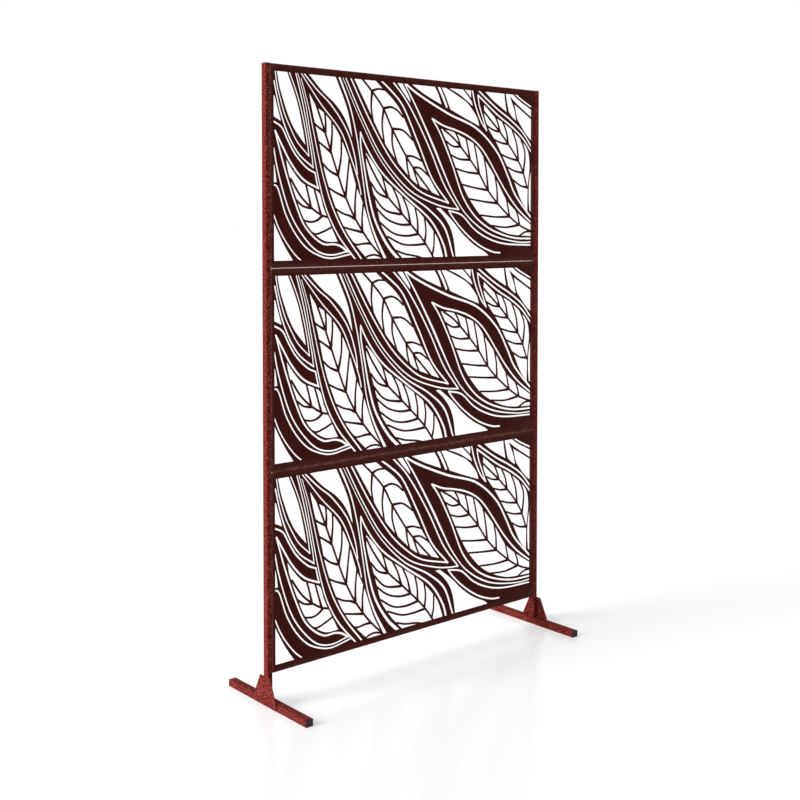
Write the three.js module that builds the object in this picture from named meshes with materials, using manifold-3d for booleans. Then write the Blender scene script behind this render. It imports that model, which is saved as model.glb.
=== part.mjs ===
// A free-standing decorative screen: three laser-cut folded sheet panels held between two tube uprights,
// each upright standing on a tube foot and braced to it by an outside plate. Millimetres, +Z up, the front
// faces -Y, and the origin lies on the floor midway between the two feet.
import * as THREE from 'three';
import { mergeVertices, toCreasedNormals } from 'three/addons/utils/BufferGeometryUtils.js';
import Module from 'manifold-3d';

const wasm = await Module();
wasm.setup();

// ---------------------------------------------------------------------------------------------------------
// Overall sizes
// ---------------------------------------------------------------------------------------------------------
const SCREEN_WIDTH = 1183;
const PANEL_HEIGHT = 609.5;
const PANEL_COUNT = 3;
const PANEL_GAP = 1.5;
const BOTTOM_CLEARANCE = 98.5;

// Uprights: rectangular tube standing on the feet
const UPRIGHT_WIDTH = 18;
const UPRIGHT_DEPTH = 22;
const UPRIGHT_WALL = 1.5;
const TUBE_CORNER = 2;
const CAP_THICKNESS = 3;
const CAP_INSERT = 14;

// Feet: rectangular tube lying fore and aft
const FOOT_LENGTH = 410;
const FOOT_WIDTH = 26;
const FOOT_HEIGHT = 22;
const FOOT_WALL = 2;
const PLUG_THICKNESS = 3;
const PLUG_INSERT = 14;
const PLUG_CLEARANCE = 0.3;
const PLUG_WALL = 2;

// Brace plates on the outer sides
const BRACE_THICKNESS = 3;
const BRACE_TOP_WIDTH = 50;
const BRACE_BOTTOM_WIDTH = 116;
const BRACE_TOP_Z = 92;
const BRACE_BOTTOM_Z = 3;
const BRACE_CORNER = 3;
const BRACE_BOLT_EDGE = 11;
const BRACE_BOLT_PITCH = 32;
const BRACE_FOOT_BOLT_EDGE = 21;

// Folded sheet panels
const SHEET = 1.5;
const FLANGE_DEPTH = 16.5;
const BEND_RADIUS = 2;
const CORNER_RELIEF = 1.5;
const PANEL_RECESS = 2.7;

// Hardware
const BOLT_DIAMETER = 6;
const BOLT_HEAD_DIAMETER = 10.5;
const BOLT_HEAD_HEIGHT = 2.8;
const BOLT_LENGTH = 13;
const SCREW_DIAMETER = 5;
const SCREW_HEAD_DIAMETER = 9.5;
const SCREW_HEAD_HEIGHT = 2.4;
const SCREW_LENGTH = 11;
const SCREW_INSET = 70;
const NUT_BARREL_WALL = 1.2;
const NUT_FLANGE_OVERHANG = 1.5;
const NUT_FLANGE_THICKNESS = 0.7;
const NUT_LENGTH = 10;
const HOLE_CLEARANCE = 0.5;
const THREAD_CLEARANCE = 0.3;
const NUT_CLEARANCE = 0.4;
const SEAT_GAP = 0.05;
const BOLT_SIDES = 8;
const SCREW_SIDES = 6;

// The cut pattern: the field that holds it, and how closely its curves are followed
const FIELD_SIDE_MARGIN = 12;
const FIELD_END_MARGIN = 22;
const MIDRIB_WIDTH = 5.5;
const VEIN_WIDTH = 5;
const VEIN_ROOT_WIDTH = 8;
const CURVE_TOLERANCE = 3.4;
const SAMPLES_PER_SPAN = 8;
const DRAWN_FIELD = { left: 12, right: 1135, bottom: 22, top: 586 };

// ---------------------------------------------------------------------------------------------------------
// Derived sizes
// ---------------------------------------------------------------------------------------------------------
const HALF_WIDTH = SCREEN_WIDTH / 2;
const PANEL_WIDTH = SCREEN_WIDTH - 2 * (UPRIGHT_WIDTH + NUT_FLANGE_THICKNESS + 2 * SEAT_GAP);
const SCREEN_HEIGHT = BOTTOM_CLEARANCE + PANEL_COUNT * PANEL_HEIGHT + (PANEL_COUNT - 1) * PANEL_GAP;
const PANEL_FRONT_Y = -UPRIGHT_DEPTH / 2 + PANEL_RECESS;
const UPRIGHT_LENGTH = SCREEN_HEIGHT - CAP_THICKNESS - FOOT_HEIGHT;
const PATTERN_SCALE = (PANEL_HEIGHT - 2 * FIELD_END_MARGIN) / (DRAWN_FIELD.top - DRAWN_FIELD.bottom);

const COATS = {
  panel: new THREE.MeshStandardMaterial({ color: 0x39140e, roughness: 0.55, metalness: 0.1 }),
  frame: new THREE.MeshStandardMaterial({ color: 0x6e2620, roughness: 0.5, metalness: 0.1 }),
  cap: new THREE.MeshStandardMaterial({ color: 0x2a1512, roughness: 0.6, metalness: 0 }),
  bolt: new THREE.MeshStandardMaterial({ color: 0x5a1f19, roughness: 0.45, metalness: 0.2 }),
  zinc: new THREE.MeshStandardMaterial({ color: 0xb9bcc0, roughness: 0.4, metalness: 0.9 }),
};

// ---------------------------------------------------------------------------------------------------------
// The cut pattern, drawn in millimetres inside DRAWN_FIELD
// ---------------------------------------------------------------------------------------------------------
// Slits follow a centre line; a list of widths is spread evenly along the line.
const SLITS = [
  // The narrow lance shape at the upper left, and the pairs of slits sweeping around it
  { width: [4.5], line: [[18, 586], [26, 540], [38, 500], [52, 460], [73, 420], [98, 380], [142, 338]] },
  { width: [4.5], line: [[70, 586], [91, 540], [106, 500], [118, 460], [128, 420], [136, 380], [142, 338]] },
  { width: [5.5], line: [[14, 556], [27, 500], [39, 460], [55, 420], [76, 380], [107, 340], [158, 304]] },
  { width: [4.5], line: [[92, 590], [107, 540], [128, 460], [145, 380], [153, 340], [158, 303]] },
  { width: [6], line: [[4, 440], [40, 421], [65, 380], [92, 340], [137, 300], [165, 288]] },
  { width: [6], line: [[165, 288], [171, 262], [177, 242]] },
  // Long slits falling from the upper left to the bottom edge
  {
    width: [3, 4, 4.5, 5.5, 6.5],
    line: [[99, 592], [128, 500], [145, 420], [162, 340], [181, 260], [207, 180], [252, 100], [325, 18]],
  },
  {
    width: [3, 4, 4.5, 5.5, 6.5],
    line: [[113, 572], [137, 500], [158, 420], [178, 340], [202, 260], [234, 180], [282, 100], [350, 18]],
  },
  { width: [4, 5.5, 5.5], line: [[109, 592], [187, 500], [265, 420], [305, 340], [337, 262], [346, 225]] },
  { width: [5, 5.5, 5.5], line: [[119, 592], [175, 540], [226, 500], [291, 420], [322, 340], [331, 288]] },
  {
    width: [9, 6, 5.5, 5.5, 5, 8, 12],
    line: [[257, 592], [301, 500], [325, 420], [342, 340], [356, 260], [371, 180], [401, 100], [445, 22]],
  },
  // The broad sweep through the middle
  {
    width: [3, 3.5, 4, 5.5, 7, 9, 7.5],
    line: [[270, 592], [344, 460], [423, 340], [528, 240], [637, 178], [706, 120], [747, 22]],
  },
  {
    width: [5, 5, 5.5, 6],
    line: [[282, 592], [356, 460], [438, 340], [554, 240], [660, 199], [720, 186], [772, 181]],
  },
  { width: [6], line: [[302, 592], [382, 460], [470, 340], [536, 279], [600, 237], [724, 202]] },
  { width: [7], line: [[424, 592], [470, 560], [516, 520], [586, 400], [652, 279], [724, 202]] },
  { width: [6.5], line: [[475, 592], [529, 540], [575, 480], [639, 380], [706, 260], [772, 181]] },
  {
    width: [6.5, 7, 9, 13],
    line: [[344, 420], [345, 380], [361, 300], [378, 220], [405, 140], [458, 60], [500, 20]],
  },
  {
    width: [6, 7, 8, 10],
    line: [[344, 420], [365, 380], [428, 300], [534, 220], [647, 140], [703, 60], [716, 18]],
  },
  // Paired slits around the two leaves on the right
  {
    width: [6, 7, 10.5, 7, 5, 6.5, 5, 5],
    line: [
      [525, 592], [575, 520], [649, 400], [694, 320], [742, 240], [812, 160], [920, 97], [1060, 68],
      [1142, 67],
    ],
  },
  {
    width: [8.5],
    line: [
      [530, 588], [580, 560], [720, 502], [860, 456], [958, 379], [1010, 299], [1045, 238], [1142, 142],
    ],
  },
  {
    width: [7],
    line: [
      [650, 480], [700, 460], [760, 447], [820, 428], [880, 391], [1000, 246], [1060, 186], [1144, 127],
    ],
  },
  {
    width: [7],
    line: [
      [650, 480], [681, 440], [737, 340], [794, 220], [847, 160], [900, 125], [960, 101], [1040, 83],
      [1142, 79],
    ],
  },
  { width: [6.5], line: [[726, 176], [785, 162], [840, 118], [880, 95], [940, 73], [1000, 62], [1142, 56]] },
  { width: [6.5], line: [[726, 176], [738, 161], [779, 121], [832, 81], [880, 54], [940, 34], [972, 31]] },
  // Slits sweeping up the lower left side
  {
    width: [6, 6.5, 7, 8],
    line: [[17, 409], [44, 320], [88, 200], [130, 120], [195, 71], [240, 69], [265, 62], [292, 45]],
  },
  { width: [7], line: [[17, 409], [46, 360], [71, 320], [105, 280], [132, 260], [178, 241]] },
  {
    width: [5.5],
    line: [[12, 357], [24, 300], [64, 180], [99, 120], [156, 60], [190, 42], [232, 36], [294, 47]],
  },
  {
    width: [5.5],
    line: [[4, 247], [20, 246], [55, 160], [92, 100], [131, 60], [167, 40], [220, 26], [302, 37]],
  },
  { width: [5], line: [[6, 172], [29, 120], [54, 80], [88, 40], [112, 20]] },
  // Slits of the upper right corner
  { width: [7], line: [[834, 592], [849, 540], [880, 480], [904, 454]] },
  { width: [6.5], line: [[862, 572], [868, 540], [884, 500], [904, 454]] },
  { width: [7], line: [[862, 572], [960, 509], [1020, 478], [1079, 440], [1110, 410], [1143, 372]] },
  { width: [7], line: [[862, 590], [900, 565], [960, 529], [1020, 498], [1083, 457], [1143, 392]] },
  { width: [13, 12, 10.5], line: [[676, 592], [696, 560], [715, 524]] },
  { width: [6.5], line: [[1038, 593], [1080, 570], [1143, 542]] },
];

// Open panes: each outline is a ring of smooth edges that meet at corners.
const PANES = [
  [
    [[22, 596], [34, 540], [48, 500], [64, 460], [86, 420], [129, 371]],
    [[129, 371], [119, 420], [98, 500], [58, 596]],
  ],
  [
    [[131, 597], [192, 540], [246, 500], [281, 460], [312, 400]],
    [[312, 400], [300, 460], [287, 500], [240, 597]],
  ],
  [
    [[489, 596], [521, 560], [553, 527]],
    [[553, 527], [551, 540], [538, 560], [512, 596]],
  ],
  [
    [[545, 594], [612, 560], [692, 529]],
    [[692, 529], [679, 560], [656, 594]],
  ],
  [
    [[688, 594], [709, 560], [732, 516]],
    [[732, 516], [777, 499], [869, 467]],
    [[869, 467], [858, 495], [814, 540], [772, 561], [692, 594]],
  ],
  [
    [[712, 591], [775, 568], [838, 533]],
    [[838, 533], [830, 550], [807, 572], [783, 594]],
  ],
  [
    [[789, 594], [818, 570], [829, 560]],
    [[829, 560], [829, 594]],
  ],
  [
    [[889, 592], [934, 560], [1003, 523]],
    [[1003, 523], [995, 560], [991, 592]],
  ],
  [
    [[997, 592], [1004, 560], [1014, 523]],
    [[1014, 523], [1030, 508], [1051, 495]],
    [[1051, 495], [1046, 520], [1036, 545], [1019, 578]],
    [[1019, 578], [1060, 551], [1142, 504]],
    [[1142, 504], [1142, 532]],
    [[1142, 532], [1060, 570], [1028, 592]],
  ],
  [
    [[1042, 552], [1100, 520], [1142, 496]],
    [[1142, 496], [1142, 418]],
    [[1142, 418], [1100, 452], [1058, 499]],
    [[1058, 499], [1051, 520], [1042, 552]],
  ],
  [
    [[667, 185], [700, 159], [732, 120], [748, 80], [759, 14]],
    [[759, 14], [922, 14]],
    [[922, 14], [905, 30], [845, 60], [788, 100], [745, 140], [688, 184]],
  ],
  // Panes cut by the left and right edges of the field
  [[[4, 520], [16, 512]], [[16, 512], [24, 485], [32, 460], [38, 439]], [[38, 439], [4, 455]]],
  [[[4, 310], [14, 308]], [[14, 308], [18, 285], [22, 257]], [[22, 257], [4, 255]]],
  [[[4, 152], [29, 102], [54, 60], [87, 14]], [[87, 14], [4, 14]]],
  [
    [[1142, 386], [1130, 335], [1120, 285], [1117, 250], [1117, 215], [1121, 179]],
    [[1121, 179], [1142, 164]],
  ],
];

// Leaves: two edges that share their ends. The midrib and the veins are left standing in the opening, and so
// are the ties, which cross it without meeting the midrib. Veins run from the leaf's edge to the midrib.
const LEAVES = [
  {
    left: [[57, 326], [64, 290], [99, 197], [118, 155], [142, 120], [172, 95], [205, 79], [252, 77]],
    right: [[57, 326], [76, 299], [114, 258], [150, 242], [181, 226], [197, 182], [222, 133], [252, 77]],
    midrib: [[72, 270], [109, 218], [143, 187], [187, 160], [224, 150]],
    veins: [
      [[88, 209], [117, 187], [134, 182], [152, 180]],
      [[112, 145], [150, 138], [172, 143], [194, 158]],
      [[127, 262], [141, 215], [149, 183]],
      [[160, 245], [177, 192], [187, 160]],
    ],
    ties: [[[138, 114], [165, 101], [195, 108], [234, 124]]],
  },
  {
    left: [[143, 530], [154, 480], [180, 385], [206, 280], [253, 165], [292, 102], [330, 60], [370, 22]],
    right: [
      [143, 530], [170, 492], [203, 470], [236, 438], [271, 388], [295, 340], [327, 250], [356, 192],
      [400, 80], [437, 18],
    ],
    midrib: [[168, 500], [197, 430], [247, 302], [277, 230], [315, 160], [378, 78], [444, 16]],
    veins: [
      [[150, 448], [176, 429], [203, 415]],
      [[170, 388], [200, 370], [227, 352]],
      [[188, 323], [219, 297], [254, 282]],
      [[205, 250], [244, 230], [285, 215]],
      [[236, 183], [275, 164], [301, 157], [324, 146]],
      [[273, 122], [309, 114], [355, 105]],
      [[308, 75], [326, 67], [362, 70], [386, 70]],
      [[202, 478], [206, 445], [205, 410]],
      [[230, 458], [231, 410], [225, 357]],
      [[267, 404], [266, 340], [254, 284]],
      [[300, 344], [291, 275], [284, 216]],
      [[329, 262], [322, 205], [321, 150]],
      [[357, 208], [350, 150], [351, 110]],
    ],
    ties: [[[358, 22], [378, 31], [405, 33], [440, 22]]],
  },
  {
    left: [[366, 357], [368, 320], [395, 235], [412, 180], [429, 128], [456, 88], [482, 57], [520, 20]],
    right: [[366, 357], [398, 324], [440, 274], [491, 239], [600, 164], [642, 123], [676, 82], [701, 20]],
    midrib: [[366, 348], [392, 302], [450, 226], [525, 158], [613, 75], [658, 18]],
    veins: [
      [[384, 265], [417, 230], [456, 216]],
      [[391, 228], [444, 177], [516, 162]],
      [[402, 188], [455, 147], [510, 130], [555, 130]],
      [[422, 138], [480, 102], [535, 93], [590, 99]],
      [[454, 92], [520, 66], [575, 63], [622, 67]],
      [[432, 288], [445, 252], [455, 218]],
      [[471, 260], [498, 214], [515, 165]],
      [[515, 231], [541, 180], [554, 131]],
      [[573, 190], [585, 140], [586, 101]],
      [[615, 156], [622, 110], [617, 71]],
      [[659, 112], [658, 60], [650, 28]],
    ],
    ties: [[[492, 46], [530, 34], [580, 26], [610, 18]]],
  },
  {
    left: [[313, 596], [360, 521], [442, 393], [487, 343], [528, 304], [577, 265], [631, 243], [684, 225]],
    right: [[396, 595], [436, 563], [475, 535], [511, 498], [575, 385], [612, 322], [655, 260], [684, 225]],
    midrib: [[345, 594], [390, 553], [438, 501], [476, 436], [536, 351], [567, 314], [650, 231]],
    veins: [
      [[397, 450], [388, 500], [391, 553]],
      [[443, 384], [433, 450], [440, 500]],
      [[499, 322], [476, 388], [476, 437]],
      [[552, 276], [540, 318], [537, 352]],
      [[594, 251], [578, 285], [568, 315]],
      [[448, 560], [415, 561], [391, 553]],
      [[524, 476], [495, 499], [470, 507], [439, 501]],
      [[566, 404], [520, 435], [476, 438]],
      [[606, 338], [565, 352], [537, 353]],
      [[638, 288], [595, 315], [568, 316]],
    ],
  },
  {
    left: [
      [690, 448], [720, 398], [744, 350], [791, 262], [822, 217], [880, 158], [939, 123], [1010, 98],
      [1075, 91], [1142, 88],
    ],
    right: [
      [690, 448], [740, 442], [796, 423], [852, 400], [902, 346], [950, 289], [1004, 215], [1060, 171],
      [1142, 121],
    ],
    midrib: [
      [700, 448], [746, 421], [775, 398], [862, 312], [908, 252], [953, 208], [1062, 131], [1146, 100],
    ],
    veins: [
      [[708, 411], [745, 393], [780, 393]],
      [[733, 364], [775, 351], [823, 350]],
      [[756, 319], [810, 308], [868, 304]],
      [[788, 265], [850, 255], [911, 248]],
      [[822, 217], [890, 209], [958, 203]],
      [[875, 162], [950, 156], [1019, 157]],
      [[928, 126], [1000, 120], [1066, 128]],
      [[1066, 88], [1100, 103], [1138, 105]],
      [[747, 452], [769, 420], [779, 394]],
      [[800, 436], [815, 390], [823, 350]],
      [[843, 412], [859, 350], [868, 304]],
      [[892, 362], [904, 310], [912, 247]],
      [[945, 302], [956, 250], [957, 203]],
      [[1002, 224], [1013, 182], [1018, 156]],
      [[1050, 184], [1064, 152], [1069, 126]],
    ],
  },
  {
    left: [
      [892, 541], [893, 505], [915, 459], [952, 414], [1011, 326], [1043, 278], [1077, 216], [1110, 176],
    ],
    right: [
      [892, 541], [945, 502], [983, 486], [1030, 461], [1076, 428], [1109, 396], [1121, 345], [1112, 262],
      [1110, 176],
    ],
    midrib: [
      [884, 524], [900, 511], [928, 487], [965, 456], [1003, 420], [1050, 370], [1082, 325], [1111, 256],
    ],
    veins: [
      [[905, 471], [940, 456], [968, 453]],
      [[940, 424], [978, 414], [1011, 411]],
      [[974, 375], [1020, 362], [1062, 356]],
      [[1002, 333], [1045, 318], [1088, 313]],
      [[1036, 287], [1075, 267], [1108, 262]],
      [[943, 510], [960, 480], [970, 451]],
      [[979, 494], [1001, 455], [1011, 411]],
      [[1027, 470], [1053, 415], [1063, 355]],
      [[1072, 438], [1096, 385], [1089, 312]],
    ],
  },
];

// ---------------------------------------------------------------------------------------------------------
// Solids
// ---------------------------------------------------------------------------------------------------------
// A closed geometry becomes a solid that can be joined and cut.
function solidOf(geometry) {
  const bare = geometry.clone();
  bare.deleteAttribute('normal');
  bare.deleteAttribute('uv');
  const welded = mergeVertices(bare, 1e-4);
  return new wasm.Manifold(
    new wasm.Mesh({
      numProp: 3,
      vertProperties: new Float32Array(welded.attributes.position.array),
      triVerts: new Uint32Array(welded.index.array),
    }),
  );
}

function geometryOf(solid) {
  const mesh = solid.getMesh();
  const geometry = new THREE.BufferGeometry();
  geometry.setAttribute('position', new THREE.BufferAttribute(mesh.vertProperties, 3));
  geometry.setIndex(new THREE.BufferAttribute(mesh.triVerts, 1));
  return toCreasedNormals(geometry, Math.PI / 7);
}

function joined(solids) {
  return solids.reduce((whole, solid) => whole.add(solid));
}

// Prism along +Z over a closed ring of points, with optional round holes.
function prism(points, depth, holes = []) {
  const shape = new THREE.Shape(points);
  shape.holes = holes;
  return new THREE.ExtrudeGeometry(shape, { depth, bevelEnabled: false, steps: 1 });
}

function roundedRectangle(width, height, radius, segments = 2) {
  const corners = [
    [width / 2 - radius, height / 2 - radius, 0],
    [-width / 2 + radius, height / 2 - radius, 90],
    [-width / 2 + radius, -height / 2 + radius, 180],
    [width / 2 - radius, -height / 2 + radius, 270],
  ];
  return corners.flatMap(([x, y, start]) =>
    Array.from({ length: segments + 1 }, (_, i) => {
      const angle = THREE.MathUtils.degToRad(start + (90 * i) / segments);
      return new THREE.Vector2(x + radius * Math.cos(angle), y + radius * Math.sin(angle));
    }),
  );
}

// Radius of a polygon with the given sides that clears a round of the given diameter.
function clearingRadius(diameter, sides) {
  return diameter / 2 / Math.cos(Math.PI / sides);
}

// The solid that drills a hole along X, centred on (y, z), from x0 to x1.
function drill(diameter, x0, x1, y, z, sides) {
  const radius = clearingRadius(diameter, sides);
  const bar = new THREE.CylinderGeometry(radius, radius, x1 - x0, sides);
  bar.rotateZ(-Math.PI / 2);
  bar.translate((x0 + x1) / 2, y, z);
  return solidOf(bar);
}

// ---------------------------------------------------------------------------------------------------------
// Pattern geometry
// ---------------------------------------------------------------------------------------------------------
// The drawn pattern is stretched to the field of the panel that is being made.
function toField([x, y]) {
  const fieldWidth = PANEL_WIDTH - 2 * FIELD_SIDE_MARGIN;
  const fieldHeight = PANEL_HEIGHT - 2 * FIELD_END_MARGIN;
  const across = (x - DRAWN_FIELD.left) / (DRAWN_FIELD.right - DRAWN_FIELD.left);
  const up = (y - DRAWN_FIELD.bottom) / (DRAWN_FIELD.top - DRAWN_FIELD.bottom);
  return new THREE.Vector2((across - 0.5) * fieldWidth, FIELD_END_MARGIN + up * fieldHeight);
}

// The sample that lies farthest from the chord between two others, and its offset from that chord.
function farthestFromChord(samples, first, last) {
  const start = samples[first].point;
  const along = samples[last].point.clone().sub(start).normalize();
  let farthest = { index: first, offset: new THREE.Vector2() };
  for (let index = first + 1; index < last; index += 1) {
    const offset = samples[index].point.clone().sub(start);
    offset.addScaledVector(along, -offset.dot(along));
    if (offset.length() > farthest.offset.length()) {
      farthest = { index, offset };
    }
  }
  return farthest;
}

// Keeps as few samples as the tolerance allows. Each one is then moved out by half the bulge of the curve
// beside it, so that the chords straddle the curve and stay within half the tolerance of it.
function thinned(samples) {
  const kept = [0, samples.length - 1];
  const bulges = [];
  while (bulges.length < kept.length - 1) {
    const chord = bulges.length;
    const { index, offset } = farthestFromChord(samples, kept[chord], kept[chord + 1]);
    if (offset.length() > CURVE_TOLERANCE) {
      kept.splice(chord + 1, 0, index);
    } else {
      bulges.push(offset);
    }
  }
  return kept.map((index, i) => {
    const { at, point } = samples[index];
    const isEnd = i === 0 || i === bulges.length;
    const shift = isEnd ? new THREE.Vector2() : bulges[i - 1].clone().add(bulges[i]);
    return { at, point: point.clone().addScaledVector(shift, 0.25) };
  });
}

// A smooth line through the drawn points: a list of { at, point } with at running from 0 to 1.
function smoothLine(drawn) {
  const through = drawn.map(toField).map(({ x, y }) => new THREE.Vector3(x, y, 0));
  const curve = new THREE.CatmullRomCurve3(through, false, 'centripetal');
  const count = SAMPLES_PER_SPAN * (drawn.length - 1);
  const samples = Array.from({ length: count + 1 }, (_, i) => {
    const { x, y } = curve.getPoint(i / count);
    return { at: i / count, point: new THREE.Vector2(x, y) };
  });
  return thinned(samples);
}

function widthAt(widths, at) {
  const place = at * (widths.length - 1);
  const index = Math.min(Math.floor(place), widths.length - 2);
  if (widths.length === 1) {
    return widths[0];
  }
  return THREE.MathUtils.lerp(widths[index], widths[index + 1], place - index);
}

// A ribbon of the given widths along a smooth line.
function ribbon(line, widths) {
  const left = [];
  const right = [];
  line.forEach(({ at, point }, i) => {
    const before = line[Math.max(i - 1, 0)].point;
    const after = line[Math.min(i + 1, line.length - 1)].point;
    const along = after.clone().sub(before).normalize();
    const half = widthAt(widths, at) / 2;
    left.push(new THREE.Vector2(point.x - along.y * half, point.y + along.x * half));
    right.unshift(new THREE.Vector2(point.x + along.y * half, point.y - along.x * half));
  });
  return [...left, ...right];
}

// A vein's line from the leaf's edge inwards, its last point set on the midrib's centre line.
function veinLine(drawn, midrib) {
  const line = smoothLine(drawn);
  const root = line.at(-1).point;
  const feet = midrib.slice(1).map((end, i) => {
    const start = midrib[i].point;
    const span = end.point.clone().sub(start);
    const part = THREE.MathUtils.clamp(root.clone().sub(start).dot(span) / span.lengthSq(), 0, 1);
    return start.clone().addScaledVector(span, part);
  });
  const foot = feet.reduce((best, next) => (next.distanceTo(root) < best.distanceTo(root) ? next : best));
  return [...line.slice(0, -1), { at: 1, point: foot }];
}

// A ring made of smooth edges, with a straight side wherever an edge doesn't start where the last one ends.
function ringOf(edges) {
  return edges.flatMap((edge, i) => {
    const points = smoothLine(edge).map(({ point }) => point);
    const next = toField(edges[(i + 1) % edges.length][0]);
    const meets = next.distanceTo(points.at(-1)) < SEAT_GAP;
    return meets ? points.slice(0, -1) : points;
  });
}

// Everything the laser takes out of one panel, as prisms along +Z.
function cutPattern(depth) {
  const cut = (ring) => solidOf(prism(ring, depth));
  const slits = SLITS.map(({ line, width }) => {
    const widths = width.map((drawn) => drawn * PATTERN_SCALE);
    return cut(ribbon(smoothLine(line), widths));
  });
  const panes = PANES.map((edges) => cut(ringOf(edges)));
  const leaves = LEAVES.map(({ left, right, midrib, veins, ties = [] }) => {
    const spine = smoothLine(midrib);
    const webs = [
      ribbon(spine, [MIDRIB_WIDTH]),
      ...veins.map((vein) => ribbon(veinLine(vein, spine), [VEIN_WIDTH, VEIN_WIDTH, VEIN_ROOT_WIDTH])),
      ...ties.map((tie) => ribbon(smoothLine(tie), [VEIN_WIDTH])),
    ];
    return cut(ringOf([left, [...right].reverse()])).subtract(joined(webs.map(cut)));
  });
  const field = new THREE.BoxGeometry(
    PANEL_WIDTH - 2 * FIELD_SIDE_MARGIN,
    PANEL_HEIGHT - 2 * FIELD_END_MARGIN,
    depth,
  );
  field.translate(0, PANEL_HEIGHT / 2, depth / 2);
  return joined([...slits, ...panes, ...leaves]).intersect(solidOf(field));
}

// ---------------------------------------------------------------------------------------------------------
// Panel: a sheet folded back along its four edges
// ---------------------------------------------------------------------------------------------------------
// Half of the fold's section: a lead in the plate's plane, the bend, and the return flange.
function foldSection() {
  const inner = BEND_RADIUS - SHEET;
  const outer = [];
  const inside = [];
  for (let i = 0; i <= 2; i += 1) {
    const angle = THREE.MathUtils.degToRad(45 * i);
    outer.push(new THREE.Vector2(BEND_RADIUS * Math.sin(angle), BEND_RADIUS * (1 - Math.cos(angle))));
    inside.unshift(new THREE.Vector2(inner * Math.sin(angle), SHEET + inner * (1 - Math.cos(angle))));
  }
  return [
    new THREE.Vector2(-SHEET, 0),
    ...outer,
    new THREE.Vector2(BEND_RADIUS, BEND_RADIUS + FLANGE_DEPTH),
    new THREE.Vector2(BEND_RADIUS - SHEET, BEND_RADIUS + FLANGE_DEPTH),
    ...inside,
    new THREE.Vector2(-SHEET, SHEET),
  ];
}

// A folded edge running along +Y, lying to the +X side of the plate.
function foldedEdge(length) {
  const fold = prism(foldSection(), length);
  fold.rotateX(Math.PI / 2);
  fold.translate(0, length / 2, 0);
  return fold;
}

// The panel lies in the XY plane with its face down at z = 0 and its flanges rising along +Z.
function panelSolid() {
  const plateWidth = PANEL_WIDTH - 2 * BEND_RADIUS;
  const plateHeight = PANEL_HEIGHT - 2 * BEND_RADIUS;
  const plate = new THREE.BoxGeometry(plateWidth, plateHeight, SHEET);
  plate.translate(0, PANEL_HEIGHT / 2, SHEET / 2);
  const edges = [0, 1, 2, 3].map((turn) => {
    const upright = turn % 2 === 0;
    const length = (upright ? plateHeight : plateWidth) - 2 * CORNER_RELIEF;
    const reach = (upright ? plateWidth : plateHeight) / 2;
    const edge = foldedEdge(length);
    edge.translate(reach, 0, 0);
    edge.rotateZ((turn * Math.PI) / 2);
    edge.translate(0, PANEL_HEIGHT / 2, 0);
    return solidOf(edge);
  });
  const flangeHoles = screwHeights().flatMap((height) =>
    [-1, 1].map((side) => {
      const hole = drill(
        SCREW_DIAMETER + HOLE_CLEARANCE,
        PANEL_WIDTH / 2 - 3 * SHEET,
        PANEL_WIDTH / 2 + SHEET,
        height,
        -PANEL_FRONT_Y,
        SCREW_SIDES,
      );
      return side > 0 ? hole : hole.mirror([1, 0, 0]);
    }),
  );
  const pattern = cutPattern(3 * SHEET).translate([0, 0, -SHEET]);
  return joined([solidOf(plate), ...edges]).subtract(joined([...flangeHoles, pattern]));
}

function screwHeights() {
  return [SCREW_INSET, PANEL_HEIGHT - SCREW_INSET];
}

// ---------------------------------------------------------------------------------------------------------
// Frame pieces
// ---------------------------------------------------------------------------------------------------------
function tube(width, depth, wall, length) {
  const inside = roundedRectangle(width - 2 * wall, depth - 2 * wall, TUBE_CORNER / 2, 1);
  const bore = new THREE.Path(inside.reverse());
  return solidOf(prism(roundedRectangle(width, depth, TUBE_CORNER), length, [bore]));
}

// A plug for a tube's end: a head that covers the wall, and a hollow skirt that goes inside.
function plugSolid(width, depth, wall, head, insert) {
  const fit = 2 * (wall + PLUG_CLEARANCE);
  const cover = solidOf(prism(roundedRectangle(width, depth, TUBE_CORNER), head));
  const skirtWidth = width - fit;
  const skirtDepth = depth - fit;
  const hollow = new THREE.Path(
    roundedRectangle(skirtWidth - 2 * PLUG_WALL, skirtDepth - 2 * PLUG_WALL, TUBE_CORNER / 4, 1).reverse(),
  );
  const outside = roundedRectangle(skirtWidth, skirtDepth, TUBE_CORNER / 2, 1);
  const skirt = prism(outside, insert + head / 2, [hollow]);
  skirt.translate(0, 0, -insert);
  return cover.add(solidOf(skirt));
}

// The brace bolts, two into the upright and two into the foot.
function braceBolts() {
  const spread = BRACE_BOTTOM_WIDTH / 2 - BRACE_FOOT_BOLT_EDGE;
  return [
    { name: 'upper', into: 'upright', y: 0, z: BRACE_TOP_Z - BRACE_BOLT_EDGE },
    { name: 'lower', into: 'upright', y: 0, z: BRACE_TOP_Z - BRACE_BOLT_EDGE - BRACE_BOLT_PITCH },
    { name: 'front', into: 'foot', y: -spread, z: FOOT_HEIGHT / 2 },
    { name: 'back', into: 'foot', y: spread, z: FOOT_HEIGHT / 2 },
  ];
}

function nutHoleDiameter(diameter) {
  return 2 * (nutBarrelRadius(diameter) + NUT_CLEARANCE);
}

// Holes for the brace bolts' nuts, in the wall whose outer face lies at the given x on the -X side.
function braceNutHoles(into, face, wall) {
  const diameter = nutHoleDiameter(BOLT_DIAMETER);
  return braceBolts()
    .filter((bolt) => bolt.into === into)
    .map(({ y, z }) => drill(diameter, face - wall, face + 2 * wall, y, z, SCREW_SIDES));
}

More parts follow.
